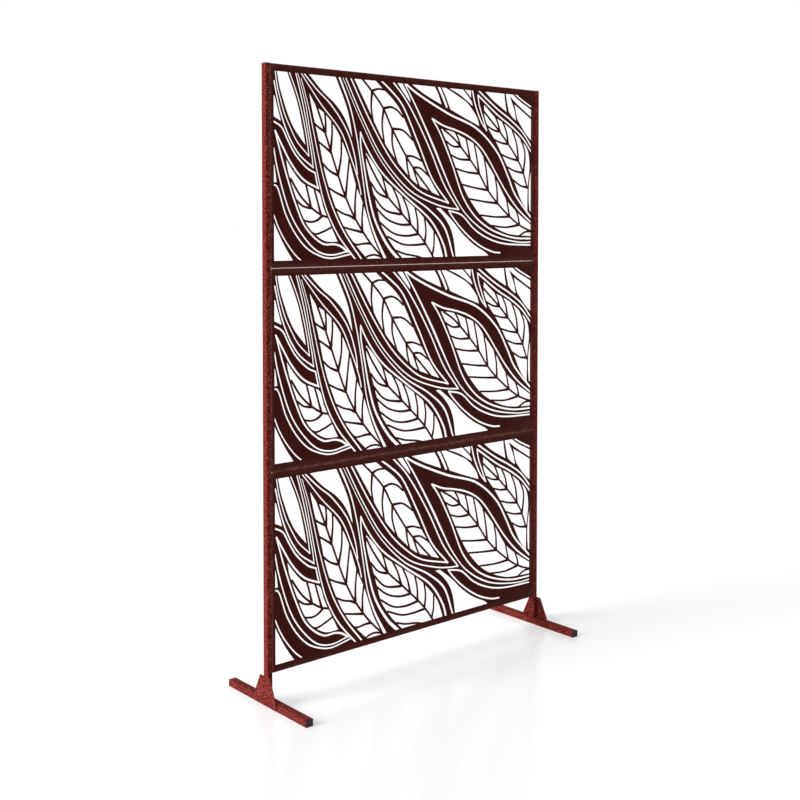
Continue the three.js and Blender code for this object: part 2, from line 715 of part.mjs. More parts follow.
// The upright of the left side, its outer face towards -X.
function uprightSolid() {
  const inner = UPRIGHT_WIDTH / 2;
  const screwHoles = panelScrews().map(({ z }) =>
    drill(
      nutHoleDiameter(SCREW_DIAMETER),
      inner - 2 * UPRIGHT_WALL,
      inner + UPRIGHT_WALL,
      0,
      z,
      SCREW_SIDES,
    ),
  );
  return tube(UPRIGHT_WIDTH, UPRIGHT_DEPTH, UPRIGHT_WALL, UPRIGHT_LENGTH)
    .translate([0, 0, FOOT_HEIGHT])
    .subtract(joined([...screwHoles, ...braceNutHoles('upright', -inner, UPRIGHT_WALL)]));
}

function footSolid() {
  const length = FOOT_LENGTH - 2 * PLUG_THICKNESS;
  return tube(FOOT_WIDTH, FOOT_HEIGHT, FOOT_WALL, length)
    .translate([0, 0, -length / 2])
    .rotate([90, 0, 0])
    .translate([0, 0, FOOT_HEIGHT / 2])
    .subtract(joined(braceNutHoles('foot', -FOOT_WIDTH / 2, FOOT_WALL)));
}

// The brace stands in the YZ plane, thickness along +X from x = 0.
function braceSolid() {
  const low = BRACE_BOTTOM_WIDTH / 2;
  const high = BRACE_TOP_WIDTH / 2;
  const corners = [
    [-low, BRACE_BOTTOM_Z],
    [low, BRACE_BOTTOM_Z],
    [low, FOOT_HEIGHT],
    [high, BRACE_TOP_Z],
    [-high, BRACE_TOP_Z],
    [-low, FOOT_HEIGHT],
  ].map(([y, z]) => new THREE.Vector2(y, z));
  const rounded = corners.flatMap((corner, i) => {
    const before = corners.at(i - 1).clone().sub(corner).normalize();
    const after = corners[(i + 1) % corners.length].clone().sub(corner).normalize();
    const first = corner.clone().addScaledVector(before, BRACE_CORNER);
    const last = corner.clone().addScaledVector(after, BRACE_CORNER);
    return new THREE.QuadraticBezierCurve(first, corner, last).getPoints(2);
  });
  const plate = prism(rounded, BRACE_THICKNESS);
  plate.rotateX(Math.PI / 2);
  plate.rotateZ(Math.PI / 2);
  const holes = braceBolts().map(({ y, z }) =>
    drill(BOLT_DIAMETER + HOLE_CLEARANCE, -BRACE_THICKNESS, 2 * BRACE_THICKNESS, y, z, BOLT_SIDES),
  );
  return solidOf(plate).subtract(joined(holes));
}

// ---------------------------------------------------------------------------------------------------------
// Hardware: axes along +X, the head on the -X side, the clamped face at x = 0
// ---------------------------------------------------------------------------------------------------------
function buttonScrew(diameter, headDiameter, headHeight, length, sides) {
  const head = headDiameter / 2;
  const profile = [
    [0, -headHeight],
    [head * 0.55, -headHeight],
    [head * 0.9, -headHeight * 0.55],
    [head, 0],
    [diameter / 2, 0],
    [diameter / 2, length],
    [0, length],
  ].map(([radius, along]) => new THREE.Vector2(radius, along));
  const screw = new THREE.LatheGeometry(profile, sides);
  screw.rotateZ(-Math.PI / 2);
  const socket = new THREE.CylinderGeometry(diameter * 0.36, diameter * 0.36, headHeight, 6);
  socket.rotateZ(-Math.PI / 2);
  socket.translate(-headHeight * 0.95, 0, 0);
  return solidOf(screw).subtract(solidOf(socket));
}

function nutBoreRadius(diameter) {
  return clearingRadius(diameter + THREAD_CLEARANCE, SCREW_SIDES);
}

function nutBarrelRadius(diameter) {
  return nutBoreRadius(diameter) + NUT_BARREL_WALL;
}

// A rivet nut with its flange against the face at x = 0, thickness taken towards -X, barrel towards +X.
function rivetNut(diameter) {
  const bore = nutBoreRadius(diameter);
  const barrel = nutBarrelRadius(diameter);
  const flange = barrel + NUT_FLANGE_OVERHANG;
  const profile = [
    [bore, -NUT_FLANGE_THICKNESS],
    [flange, -NUT_FLANGE_THICKNESS],
    [flange, 0],
    [barrel, 0],
    [barrel, NUT_LENGTH],
    [bore, NUT_LENGTH],
    [bore, -NUT_FLANGE_THICKNESS],
  ].map(([radius, along]) => new THREE.Vector2(radius, along));
  const nut = new THREE.LatheGeometry(profile, SCREW_SIDES);
  nut.rotateZ(-Math.PI / 2);
  return solidOf(nut);
}

// ---------------------------------------------------------------------------------------------------------
// Assembly
// ---------------------------------------------------------------------------------------------------------
function panelBottoms() {
  return ['bottom', 'middle', 'top'].map((level, i) => ({
    level,
    bottom: BOTTOM_CLEARANCE + i * (PANEL_HEIGHT + PANEL_GAP),
  }));
}

function panelScrews() {
  return panelBottoms().flatMap(({ level, bottom }) =>
    screwHeights().map((height, i) => ({ name: `${level}_${['low', 'high'][i]}`, z: bottom + height })),
  );
}

const screen = new THREE.Group();

function place(name, geometry, material, position = [0, 0, 0], turn = 0) {
  const mesh = new THREE.Mesh(geometry, material);
  mesh.name = name;
  mesh.position.set(...position);
  mesh.rotation.z = turn;
  screen.add(mesh);
  return mesh;
}

const panelGeometry = geometryOf(panelSolid().rotate([90, 0, 0]).mirror([0, 1, 0]));
panelBottoms().forEach(({ level, bottom }) => {
  place(`panel_${level}`, panelGeometry, COATS.panel, [0, PANEL_FRONT_Y, bottom]);
});

const uprightGeometry = geometryOf(uprightSolid());
const uprightCapGeometry = geometryOf(
  plugSolid(UPRIGHT_WIDTH, UPRIGHT_DEPTH, UPRIGHT_WALL, CAP_THICKNESS, CAP_INSERT),
);
const footGeometry = geometryOf(footSolid());
const footPlugGeometry = geometryOf(
  plugSolid(FOOT_WIDTH, FOOT_HEIGHT, FOOT_WALL, PLUG_THICKNESS, PLUG_INSERT).rotate([90, 0, 0]),
);
const braceGeometry = geometryOf(braceSolid());
const boltGeometry = geometryOf(
  buttonScrew(BOLT_DIAMETER, BOLT_HEAD_DIAMETER, BOLT_HEAD_HEIGHT, BOLT_LENGTH, BOLT_SIDES),
);
const boltNutGeometry = geometryOf(rivetNut(BOLT_DIAMETER));
const screwGeometry = geometryOf(
  buttonScrew(SCREW_DIAMETER, SCREW_HEAD_DIAMETER, SCREW_HEAD_HEIGHT, SCREW_LENGTH, SCREW_SIDES),
);
const screwNutGeometry = geometryOf(rivetNut(SCREW_DIAMETER));

// Both sides hold the same pieces: the right one is the left one turned about the vertical axis.
[
  ['left', -1, 0],
  ['right', 1, Math.PI],
].forEach(([side, sign, turn]) => {
  const outer = sign * HALF_WIDTH;
  const inner = outer - sign * UPRIGHT_WIDTH;
  const uprightX = (outer + inner) / 2;
  const footX = outer - (sign * FOOT_WIDTH) / 2;
  place(`upright_${side}`, uprightGeometry, COATS.frame, [uprightX, 0, 0], turn);
  place(`upright_cap_${side}`, uprightCapGeometry, COATS.cap, [uprightX, 0, SCREEN_HEIGHT - CAP_THICKNESS]);
  place(`foot_${side}`, footGeometry, COATS.frame, [footX, 0, 0], turn);
  const plugY = FOOT_LENGTH / 2 - PLUG_THICKNESS;
  place(`foot_plug_${side}_front`, footPlugGeometry, COATS.cap, [footX, -plugY, FOOT_HEIGHT / 2]);
  place(`foot_plug_${side}_back`, footPlugGeometry, COATS.cap, [footX, plugY, FOOT_HEIGHT / 2], Math.PI);

  // The brace clamps against the flanges of its nuts, and the bolts' heads against the brace.
  const nutFace = outer + sign * SEAT_GAP;
  const braceInner = nutFace + sign * (NUT_FLANGE_THICKNESS + SEAT_GAP);
  const braceOuter = braceInner + sign * BRACE_THICKNESS;
  place(`brace_plate_${side}`, braceGeometry, COATS.frame, [braceOuter, 0, 0], turn);
  braceBolts().forEach(({ name, into, y, z }) => {
    const label = `${side}_${into}_${name}`;
    place(`brace_bolt_${label}`, boltGeometry, COATS.bolt, [braceOuter + sign * SEAT_GAP, y, z], turn);
    place(`brace_nut_${label}`, boltNutGeometry, COATS.zinc, [nutFace, y, z], turn);
  });

  // Each panel's side flange clamps against the flanges of its nuts, with the screws' heads inside the tray.
  const flangeInner = sign * (PANEL_WIDTH / 2 - SHEET - SEAT_GAP);
  panelScrews().forEach(({ name, z }) => {
    const away = turn + Math.PI;
    place(`panel_screw_${side}_${name}`, screwGeometry, COATS.bolt, [flangeInner, 0, z], away);
    place(`panel_nut_${side}_${name}`, screwNutGeometry, COATS.zinc, [inner - sign * SEAT_GAP, 0, z], away);
  });
});

export default screen;
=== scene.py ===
import math

import bmesh
import bpy
import numpy as np
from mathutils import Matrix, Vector
from mathutils.geometry import delaunay_2d_cdt


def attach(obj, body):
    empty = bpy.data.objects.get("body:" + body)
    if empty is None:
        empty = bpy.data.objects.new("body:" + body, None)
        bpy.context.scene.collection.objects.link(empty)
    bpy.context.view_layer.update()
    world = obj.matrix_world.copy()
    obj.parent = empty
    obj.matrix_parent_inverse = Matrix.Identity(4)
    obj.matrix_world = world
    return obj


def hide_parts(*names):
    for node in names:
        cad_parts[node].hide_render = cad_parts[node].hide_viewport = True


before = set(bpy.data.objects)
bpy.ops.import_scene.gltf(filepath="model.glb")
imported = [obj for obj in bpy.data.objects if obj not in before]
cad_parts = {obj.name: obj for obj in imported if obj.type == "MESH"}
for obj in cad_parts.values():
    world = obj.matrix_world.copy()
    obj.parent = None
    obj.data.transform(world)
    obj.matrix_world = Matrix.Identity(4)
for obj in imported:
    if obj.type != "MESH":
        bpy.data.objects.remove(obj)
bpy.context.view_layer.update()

# ---------------------------------------------------------------------------------------------------------
# Sizes in millimetres, the same as those of the solids
# ---------------------------------------------------------------------------------------------------------
SCREEN_HEIGHT = 1930.0
SCREEN_WIDTH = 1183.0
PANEL_HEIGHT = 609.5
PANEL_GAP = 1.5
UPRIGHT = (18.0, 22.0, 1.5)  # width, depth and wall of the tube
FOOT = (26.0, 22.0, 2.0)  # width, height and wall of the tube
FOOT_LENGTH = 410.0  # over the plugs
CAP = 3.0  # the upright cap's head, above the tube
PLUG = 3.0  # the foot plug's head, before the tube
INSERT = 14.0  # what a cap or plug reaches into its tube
NUT_FLANGE = 0.7
SEAT = 0.05  # the play between two faces that bear on each other
BRACE = 3.0
BRACE_OUTLINE = [(-58, 3), (58, 3), (58, 22), (25, 92), (-25, 92), (-58, 22)]  # y and z, from the floor
BRACE_CORNER = 3.0
# each brace bolt's name, y and z
BRACE_BOLTS = (
    ("upright_upper", 0, 81), ("upright_lower", 0, 49), ("foot_front", -37, 11), ("foot_back", 37, 11),
)
BOLT_SHANK, BOLT_LENGTH = 6.0, 13.0
SCREW_SHANK, SCREW_LENGTH = 5.0, 11.0
SCREW_INSET = 70.0  # a panel screw's height above or below its panel's edge
SHEET = 1.5
FLANGE = 16.5  # the straight part of a panel's folded edge
BEND = 2.0  # the outer radius of the fold
RELIEF = 1.5  # the notch at a panel's corners
RECESS = 2.7  # a panel's face behind the uprights' front
SIDE_MARGIN = 12.0
END_MARGIN = 22.0
DRAWN = (12.0, 1135.0, 22.0, 586.0)  # the drawn pattern's left, right, bottom and top

# ---------------------------------------------------------------------------------------------------------
# Sizes of the looks alone, in millimetres
# ---------------------------------------------------------------------------------------------------------
# the photo shows the metal bolder than the solids, which have 5.5, 5 and 8, and full slit widths
MIDRIB = 7.2
VEIN = 6.8
VEIN_ROOT = 9.6
KERF_SHARE = 0.86
LEAST_OPENING = 12.0  # square millimetres: anything smaller stays metal
TOLERANCE = 0.07  # between a smooth line and its chords
EASE = 0.3  # the worn edge of sheet and plate
TUBE_RADIUS = 2.0
TUBE_EASE = 0.35
PLUG_ROUND = 1.0
PLUG_EASE = 0.2
PLUG_CLEARANCE = 0.3
PLUG_WALL = 2.0
SHANK_TIP = 0.6
# shares of the paler rim at the cut edges, and at the points across a fold's section: partly wear, partly a
# painted highlight, which on the folds paints the light along the seams
CUT_WEAR_AND_HIGHLIGHT = 0.25
FOLD_HIGHLIGHT_AND_WEAR = {0: 0.1, 1: 0.5, 2: 1.0, 3: 1.0, 4: 1.0, 5: 1.0, 6: 0.3, 8: 0.6, 9: 0.6}
FOLD_STEPS = 6
SHARP_FROM = 32  # degrees: a sharper edge isn't shaded smooth

HALF = SCREEN_WIDTH / 2
PANEL_WIDTH = SCREEN_WIDTH - 2 * (UPRIGHT[0] + NUT_FLANGE + 2 * SEAT)
BOTTOM = SCREEN_HEIGHT - 3 * PANEL_HEIGHT - 2 * PANEL_GAP
FRONT_Y = -UPRIGHT[1] / 2 + RECESS

# ---------------------------------------------------------------------------------------------------------
# The cut pattern, as drawn for the solids, in units of the drawing
# ---------------------------------------------------------------------------------------------------------
SLITS = [
  # The narrow lance shape at the upper left, and the pairs of slits sweeping around it
  { "width": [4.5], "line": [[18, 586], [26, 540], [38, 500], [52, 460], [73, 420], [98, 380], [142, 338]] },
  {
    "width": [4.5],
    "line": [[70, 586], [91, 540], [106, 500], [118, 460], [128, 420], [136, 380], [142, 338]],
  },
  { "width": [5.5], "line": [[14, 556], [27, 500], [39, 460], [55, 420], [76, 380], [107, 340], [158, 304]] },
  { "width": [4.5], "line": [[92, 590], [107, 540], [128, 460], [145, 380], [153, 340], [158, 303]] },
  { "width": [6], "line": [[4, 440], [40, 421], [65, 380], [92, 340], [137, 300], [165, 288]] },
  { "width": [6], "line": [[165, 288], [171, 262], [177, 242]] },
  # Long slits falling from the upper left to the bottom edge
  {
    "width": [3, 4, 4.5, 5.5, 6.5],
    "line": [[99, 592], [128, 500], [145, 420], [162, 340], [181, 260], [207, 180], [252, 100], [325, 18]],
  },
  {
    "width": [3, 4, 4.5, 5.5, 6.5],
    "line": [[113, 572], [137, 500], [158, 420], [178, 340], [202, 260], [234, 180], [282, 100], [350, 18]],
  },
  {
    "width": [4, 5.5, 5.5],
    "line": [[109, 592], [187, 500], [265, 420], [305, 340], [337, 262], [346, 225]],
  },
  {
    "width": [5, 5.5, 5.5],
    "line": [[119, 592], [175, 540], [226, 500], [291, 420], [322, 340], [331, 288]],
  },
  {
    "width": [9, 6, 5.5, 5.5, 5, 8, 12],
    "line": [[257, 592], [301, 500], [325, 420], [342, 340], [356, 260], [371, 180], [401, 100], [445, 22]],
  },
  # The broad sweep through the middle
  {
    "width": [3, 3.5, 4, 5.5, 7, 9, 7.5],
    "line": [[270, 592], [344, 460], [423, 340], [528, 240], [637, 178], [706, 120], [747, 22]],
  },
  {
    "width": [5, 5, 5.5, 6],
    "line": [[282, 592], [356, 460], [438, 340], [554, 240], [660, 199], [720, 186], [772, 181]],
  },
  { "width": [6], "line": [[302, 592], [382, 460], [470, 340], [536, 279], [600, 237], [724, 202]] },
  { "width": [7], "line": [[424, 592], [470, 560], [516, 520], [586, 400], [652, 279], [724, 202]] },
  { "width": [6.5], "line": [[475, 592], [529, 540], [575, 480], [639, 380], [706, 260], [772, 181]] },
  {
    "width": [6.5, 7, 9, 13],
    "line": [[344, 420], [345, 380], [361, 300], [378, 220], [405, 140], [458, 60], [500, 20]],
  },
  {
    "width": [6, 7, 8, 10],
    "line": [[344, 420], [365, 380], [428, 300], [534, 220], [647, 140], [703, 60], [716, 18]],
  },
  # Paired slits around the two leaves on the right
  {
    "width": [6, 7, 10.5, 7, 5, 6.5, 5, 5],
    "line": [
      [525, 592], [575, 520], [649, 400], [694, 320], [742, 240], [812, 160], [920, 97], [1060, 68],
      [1142, 67],
    ],
  },
  {
    "width": [8.5],
    "line": [
      [530, 588], [580, 560], [720, 502], [860, 456], [958, 379], [1010, 299], [1045, 238], [1142, 142],
    ],
  },
  {
    "width": [7],
    "line": [
      [650, 480], [700, 460], [760, 447], [820, 428], [880, 391], [1000, 246], [1060, 186], [1144, 127],
    ],
  },
  {
    "width": [7],
    "line": [
      [650, 480], [681, 440], [737, 340], [794, 220], [847, 160], [900, 125], [960, 101], [1040, 83],
      [1142, 79],
    ],
  },
  {
    "width": [6.5],
    "line": [[726, 176], [785, 162], [840, 118], [880, 95], [940, 73], [1000, 62], [1142, 56]],
  },
  {
    "width": [6.5],
    "line": [[726, 176], [738, 161], [779, 121], [832, 81], [880, 54], [940, 34], [972, 31]],
  },
  # Slits sweeping up the lower left side
  {
    "width": [6, 6.5, 7, 8],
    "line": [[17, 409], [44, 320], [88, 200], [130, 120], [195, 71], [240, 69], [265, 62], [292, 45]],
  },
  { "width": [7], "line": [[17, 409], [46, 360], [71, 320], [105, 280], [132, 260], [178, 241]] },
  {
    "width": [5.5],
    "line": [[12, 357], [24, 300], [64, 180], [99, 120], [156, 60], [190, 42], [232, 36], [294, 47]],
  },
  {
    "width": [5.5],
    "line": [[4, 247], [20, 246], [55, 160], [92, 100], [131, 60], [167, 40], [220, 26], [302, 37]],
  },
  { "width": [5], "line": [[6, 172], [29, 120], [54, 80], [88, 40], [112, 20]] },
  # Slits of the upper right corner
  { "width": [7], "line": [[834, 592], [849, 540], [880, 480], [904, 454]] },
  { "width": [6.5], "line": [[862, 572], [868, 540], [884, 500], [904, 454]] },
  { "width": [7], "line": [[862, 572], [960, 509], [1020, 478], [1079, 440], [1110, 410], [1143, 372]] },
  { "width": [7], "line": [[862, 590], [900, 565], [960, 529], [1020, 498], [1083, 457], [1143, 392]] },
  { "width": [13, 12, 10.5], "line": [[676, 592], [696, 560], [715, 524]] },
  { "width": [6.5], "line": [[1038, 593], [1080, 570], [1143, 542]] },
]

PANES = [
  [
    [[22, 596], [34, 540], [48, 500], [64, 460], [86, 420], [129, 371]],
    [[129, 371], [119, 420], [98, 500], [58, 596]],
  ],
  [
    [[131, 597], [192, 540], [246, 500], [281, 460], [312, 400]],
    [[312, 400], [300, 460], [287, 500], [240, 597]],
  ],
  [
    [[489, 596], [521, 560], [553, 527]],
    [[553, 527], [551, 540], [538, 560], [512, 596]],
  ],
  [
    [[545, 594], [612, 560], [692, 529]],
    [[692, 529], [679, 560], [656, 594]],
  ],
  [
    [[688, 594], [709, 560], [732, 516]],
    [[732, 516], [777, 499], [869, 467]],
    [[869, 467], [858, 495], [814, 540], [772, 561], [692, 594]],
  ],
  [
    [[712, 591], [775, 568], [838, 533]],
    [[838, 533], [830, 550], [807, 572], [783, 594]],
  ],
  [
    [[789, 594], [818, 570], [829, 560]],
    [[829, 560], [829, 594]],
  ],
  [
    [[889, 592], [934, 560], [1003, 523]],
    [[1003, 523], [995, 560], [991, 592]],
  ],
  [
    [[997, 592], [1004, 560], [1014, 523]],
    [[1014, 523], [1030, 508], [1051, 495]],
    [[1051, 495], [1046, 520], [1036, 545], [1019, 578]],
    [[1019, 578], [1060, 551], [1142, 504]],
    [[1142, 504], [1142, 532]],
    [[1142, 532], [1060, 570], [1028, 592]],
  ],
  [
    [[1042, 552], [1100, 520], [1142, 496]],
    [[1142, 496], [1142, 418]],
    [[1142, 418], [1100, 452], [1058, 499]],
    [[1058, 499], [1051, 520], [1042, 552]],
  ],
  [
    [[667, 185], [700, 159], [732, 120], [748, 80], [759, 14]],
    [[759, 14], [922, 14]],
    [[922, 14], [905, 30], [845, 60], [788, 100], [745, 140], [688, 184]],
  ],
  # Panes cut by the left and right edges of the field
  [[[4, 520], [16, 512]], [[16, 512], [24, 485], [32, 460], [38, 439]], [[38, 439], [4, 455]]],
  [[[4, 310], [14, 308]], [[14, 308], [18, 285], [22, 257]], [[22, 257], [4, 255]]],
  [[[4, 152], [29, 102], [54, 60], [87, 14]], [[87, 14], [4, 14]]],
  [
    [[1142, 386], [1130, 335], [1120, 285], [1117, 250], [1117, 215], [1121, 179]],
    [[1121, 179], [1142, 164]],
  ],
]

LEAVES = [
  {
    "left": [[57, 326], [64, 290], [99, 197], [118, 155], [142, 120], [172, 95], [205, 79], [252, 77]],
    "right": [[57, 326], [76, 299], [114, 258], [150, 242], [181, 226], [197, 182], [222, 133], [252, 77]],
    "midrib": [[72, 270], [109, 218], [143, 187], [187, 160], [224, 150]],
    "veins": [
      [[88, 209], [117, 187], [134, 182], [152, 180]],
      [[112, 145], [150, 138], [172, 143], [194, 158]],
      [[127, 262], [141, 215], [149, 183]],
      [[160, 245], [177, 192], [187, 160]],
    ],
    "ties": [[[138, 114], [165, 101], [195, 108], [234, 124]]],
  },
  {
    "left": [[143, 530], [154, 480], [180, 385], [206, 280], [253, 165], [292, 102], [330, 60], [370, 22]],
    "right": [
      [143, 530], [170, 492], [203, 470], [236, 438], [271, 388], [295, 340], [327, 250], [356, 192],
      [400, 80], [437, 18],
    ],
    "midrib": [[168, 500], [197, 430], [247, 302], [277, 230], [315, 160], [378, 78], [444, 16]],
    "veins": [
      [[150, 448], [176, 429], [203, 415]],
      [[170, 388], [200, 370], [227, 352]],
      [[188, 323], [219, 297], [254, 282]],
      [[205, 250], [244, 230], [285, 215]],
      [[236, 183], [275, 164], [301, 157], [324, 146]],
      [[273, 122], [309, 114], [355, 105]],
      [[308, 75], [326, 67], [362, 70], [386, 70]],
      [[202, 478], [206, 445], [205, 410]],
      [[230, 458], [231, 410], [225, 357]],
      [[267, 404], [266, 340], [254, 284]],
      [[300, 344], [291, 275], [284, 216]],
      [[329, 262], [322, 205], [321, 150]],
      [[357, 208], [350, 150], [351, 110]],
    ],
    "ties": [[[358, 22], [378, 31], [405, 33], [440, 22]]],
  },
  {
    "left": [[366, 357], [368, 320], [395, 235], [412, 180], [429, 128], [456, 88], [482, 57], [520, 20]],
    "right": [[366, 357], [398, 324], [440, 274], [491, 239], [600, 164], [642, 123], [676, 82], [701, 20]],
    "midrib": [[366, 348], [392, 302], [450, 226], [525, 158], [613, 75], [658, 18]],
    "veins": [
      [[384, 265], [417, 230], [456, 216]],
      [[391, 228], [444, 177], [516, 162]],
      [[402, 188], [455, 147], [510, 130], [555, 130]],
      [[422, 138], [480, 102], [535, 93], [590, 99]],
      [[454, 92], [520, 66], [575, 63], [622, 67]],
      [[432, 288], [445, 252], [455, 218]],
      [[471, 260], [498, 214], [515, 165]],
      [[515, 231], [541, 180], [554, 131]],
      [[573, 190], [585, 140], [586, 101]],
      [[615, 156], [622, 110], [617, 71]],
      [[659, 112], [658, 60], [650, 28]],
    ],
    "ties": [[[492, 46], [530, 34], [580, 26], [610, 18]]],
  },
  {
    "left": [[313, 596], [360, 521], [442, 393], [487, 343], [528, 304], [577, 265], [631, 243], [684, 225]],
    "right": [[396, 595], [436, 563], [475, 535], [511, 498], [575, 385], [612, 322], [655, 260], [684, 225]],
    "midrib": [[345, 594], [390, 553], [438, 501], [476, 436], [536, 351], [567, 314], [650, 231]],
    "veins": [
      [[397, 450], [388, 500], [391, 553]],
      [[443, 384], [433, 450], [440, 500]],
      [[499, 322], [476, 388], [476, 437]],
      [[552, 276], [540, 318], [537, 352]],
      [[594, 251], [578, 285], [568, 315]],
      [[448, 560], [415, 561], [391, 553]],
      [[524, 476], [495, 499], [470, 507], [439, 501]],
      [[566, 404], [520, 435], [476, 438]],
      [[606, 338], [565, 352], [537, 353]],
      [[638, 288], [595, 315], [568, 316]],
    ],
  },
  {
    "left": [
      [690, 448], [720, 398], [744, 350], [791, 262], [822, 217], [880, 158], [939, 123], [1010, 98],
      [1075, 91], [1142, 88],
    ],
    "right": [
      [690, 448], [740, 442], [796, 423], [852, 400], [902, 346], [950, 289], [1004, 215], [1060, 171],
      [1142, 121],
    ],
    "midrib": [
      [700, 448], [746, 421], [775, 398], [862, 312], [908, 252], [953, 208], [1062, 131], [1146, 100],
    ],
    "veins": [
      [[708, 411], [745, 393], [780, 393]],
      [[733, 364], [775, 351], [823, 350]],
      [[756, 319], [810, 308], [868, 304]],
      [[788, 265], [850, 255], [911, 248]],
      [[822, 217], [890, 209], [958, 203]],
      [[875, 162], [950, 156], [1019, 157]],
      [[928, 126], [1000, 120], [1066, 128]],
      [[1066, 88], [1100, 103], [1138, 105]],
      [[747, 452], [769, 420], [779, 394]],
      [[800, 436], [815, 390], [823, 350]],
      [[843, 412], [859, 350], [868, 304]],
      [[892, 362], [904, 310], [912, 247]],
      [[945, 302], [956, 250], [957, 203]],
      [[1002, 224], [1013, 182], [1018, 156]],
      [[1050, 184], [1064, 152], [1069, 126]],
    ],
  },
  {
    "left": [
      [892, 541], [893, 505], [915, 459], [952, 414], [1011, 326], [1043, 278], [1077, 216], [1110, 176],
    ],
    "right": [
      [892, 541], [945, 502], [983, 486], [1030, 461], [1076, 428], [1109, 396], [1121, 345], [1112, 262],
      [1110, 176],
    ],
    "midrib": [
      [884, 524], [900, 511], [928, 487], [965, 456], [1003, 420], [1050, 370], [1082, 325], [1111, 256],
    ],
    "veins": [
      [[905, 471], [940, 456], [968, 453]],
      [[940, 424], [978, 414], [1011, 411]],
      [[974, 375], [1020, 362], [1062, 356]],
      [[1002, 333], [1045, 318], [1088, 313]],
      [[1036, 287], [1075, 267], [1108, 262]],
      [[943, 510], [960, 480], [970, 451]],
      [[979, 494], [1001, 455], [1011, 411]],
      [[1027, 470], [1053, 415], [1063, 355]],
      [[1072, 438], [1096, 385], [1089, 312]],
    ],
  },
]


def to_field(points):
    """Drawn points to the panel's own place: x from its middle, z from its bottom edge."""
    p = np.asarray(points, float)
    across = (p[:, 0] - DRAWN[0]) / (DRAWN[1] - DRAWN[0]) - 0.5
    up = (p[:, 1] - DRAWN[2]) / (DRAWN[3] - DRAWN[2])
    return np.stack(
        [across * (PANEL_WIDTH - 2 * SIDE_MARGIN), END_MARGIN + up * (PANEL_HEIGHT - 2 * END_MARGIN)], 1
    )


def smooth_line(drawn, per_span=24):
    """A centripetal curve through the drawn points, thinned to TOLERANCE: rows of (at, x, z)."""
    p = to_field(drawn)
    ends = np.vstack([2 * p[0] - p[1], p, 2 * p[-1] - p[-2]])
    rows = []
    spans = len(p) - 1
    for i in range(spans):
        p0, p1, p2, p3 = ends[i : i + 4]
        d0, d1, d2 = (max(np.linalg.norm(b - a), 1e-6) ** 0.5 for a, b in ((p0, p1), (p1, p2), (p2, p3)))
        t1 = ((p1 - p0) / d0 - (p2 - p0) / (d0 + d1) + (p2 - p1) / d1) * d1
        t2 = ((p2 - p1) / d1 - (p3 - p1) / (d1 + d2) + (p3 - p2) / d2) * d1
        for j in range(per_span + (i == spans - 1)):
            w = j / per_span
            c = p1 + w * t1 + w**2 * (-3 * p1 + 3 * p2 - 2 * t1 - t2) + w**3 * (2 * p1 - 2 * p2 + t1 + t2)
            rows.append([(i + w) / spans, *c])
    return thinned(np.array(rows))


def thinned(rows):
    """The fewest rows whose chords stay within TOLERANCE of the rest."""
    keep = {0, len(rows) - 1}
    spans = [(0, len(rows) - 1)]
    while spans:
        a, b = spans.pop()
        if b - a < 2:
            continue
        chord = rows[b, 1:] - rows[a, 1:]
        off = rows[a : b + 1, 1:] - rows[a, 1:]
        gap = np.abs(off[:, 0] * chord[1] - off[:, 1] * chord[0]) / max(np.linalg.norm(chord), 1e-9)
        k = int(gap.argmax())
        if gap[k] > TOLERANCE:
            keep.add(a + k)
            spans += [(a, a + k), (a + k, b)]
    return rows[sorted(keep)]


def ribbon(rows, widths, rounded=True):
    """The outline of a band along a line, with round ends."""
    along = np.empty((len(rows), 2))
    along[1:-1] = rows[2:, 1:] - rows[:-2, 1:]
    along[0] = rows[1, 1:] - rows[0, 1:]
    along[-1] = rows[-1, 1:] - rows[-2, 1:]
    along /= np.linalg.norm(along, axis=1)[:, None]
    half = np.interp(rows[:, 0] * (len(widths) - 1), range(len(widths)), widths) / 2
    side = np.stack([-along[:, 1], along[:, 0]], 1) * half[:, None]
    left = rows[:, 1:] + side
    right = (rows[:, 1:] - side)[::-1]
    if not rounded:
        return np.vstack([left, right])
    turns = np.linspace(0, math.pi, 9)[1:-1]
    far = [rows[-1, 1:] + math.cos(t) * side[-1] + math.sin(t) * along[-1] * half[-1] for t in turns]
    near = [rows[0, 1:] - math.cos(t) * side[0] - math.sin(t) * along[0] * half[0] for t in turns]
    return np.vstack([left, far, right, near])


def ring_of(edges):
    """A ring of smooth edges, with a straight side where one doesn't start where the last ends."""
    out = []
    for i, edge in enumerate(edges):
        points = smooth_line(edge)[:, 1:]
        following = to_field([edges[(i + 1) % len(edges)][0]])[0]
        out.append(points[:-1] if np.linalg.norm(following - points[-1]) < SEAT else points)
    return np.vstack(out)


def vein_rows(drawn, spine):
    """A vein's line from the leaf's edge inwards, its last point set on the midrib."""
    rows = smooth_line(drawn)
    start, span = spine[:-1, 1:], spine[1:, 1:] - spine[:-1, 1:]
    part = np.clip(((rows[-1, 1:] - start) * span).sum(1) / (span**2).sum(1), 0, 1)
    feet = start + span * part[:, None]
    rows[-1, 1:] = feet[np.linalg.norm(feet - rows[-1, 1:], axis=1).argmin()]
    return rows


def inside(points, ring):
    """Which points lie inside a ring."""
    out = np.zeros(len(points), bool)
    low, high = ring.min(0), ring.max(0)
    near = np.where(((points >= low) & (points <= high)).all(1))[0]
    if not len(near):
        return out
    p = points[near]
    a, b = ring, np.roll(ring, -1, 0)
    crosses = (a[:, 1] > p[:, None, 1]) != (b[:, 1] > p[:, None, 1])
    rise = np.where(b[:, 1] == a[:, 1], 1e-12, b[:, 1] - a[:, 1])
    at = a[:, 0] + (p[:, None, 1] - a[:, 1]) * (b[:, 0] - a[:, 0]) / rise
    out[near] = (crosses & (p[:, None, 0] < at)).sum(1) % 2 == 1
    return out


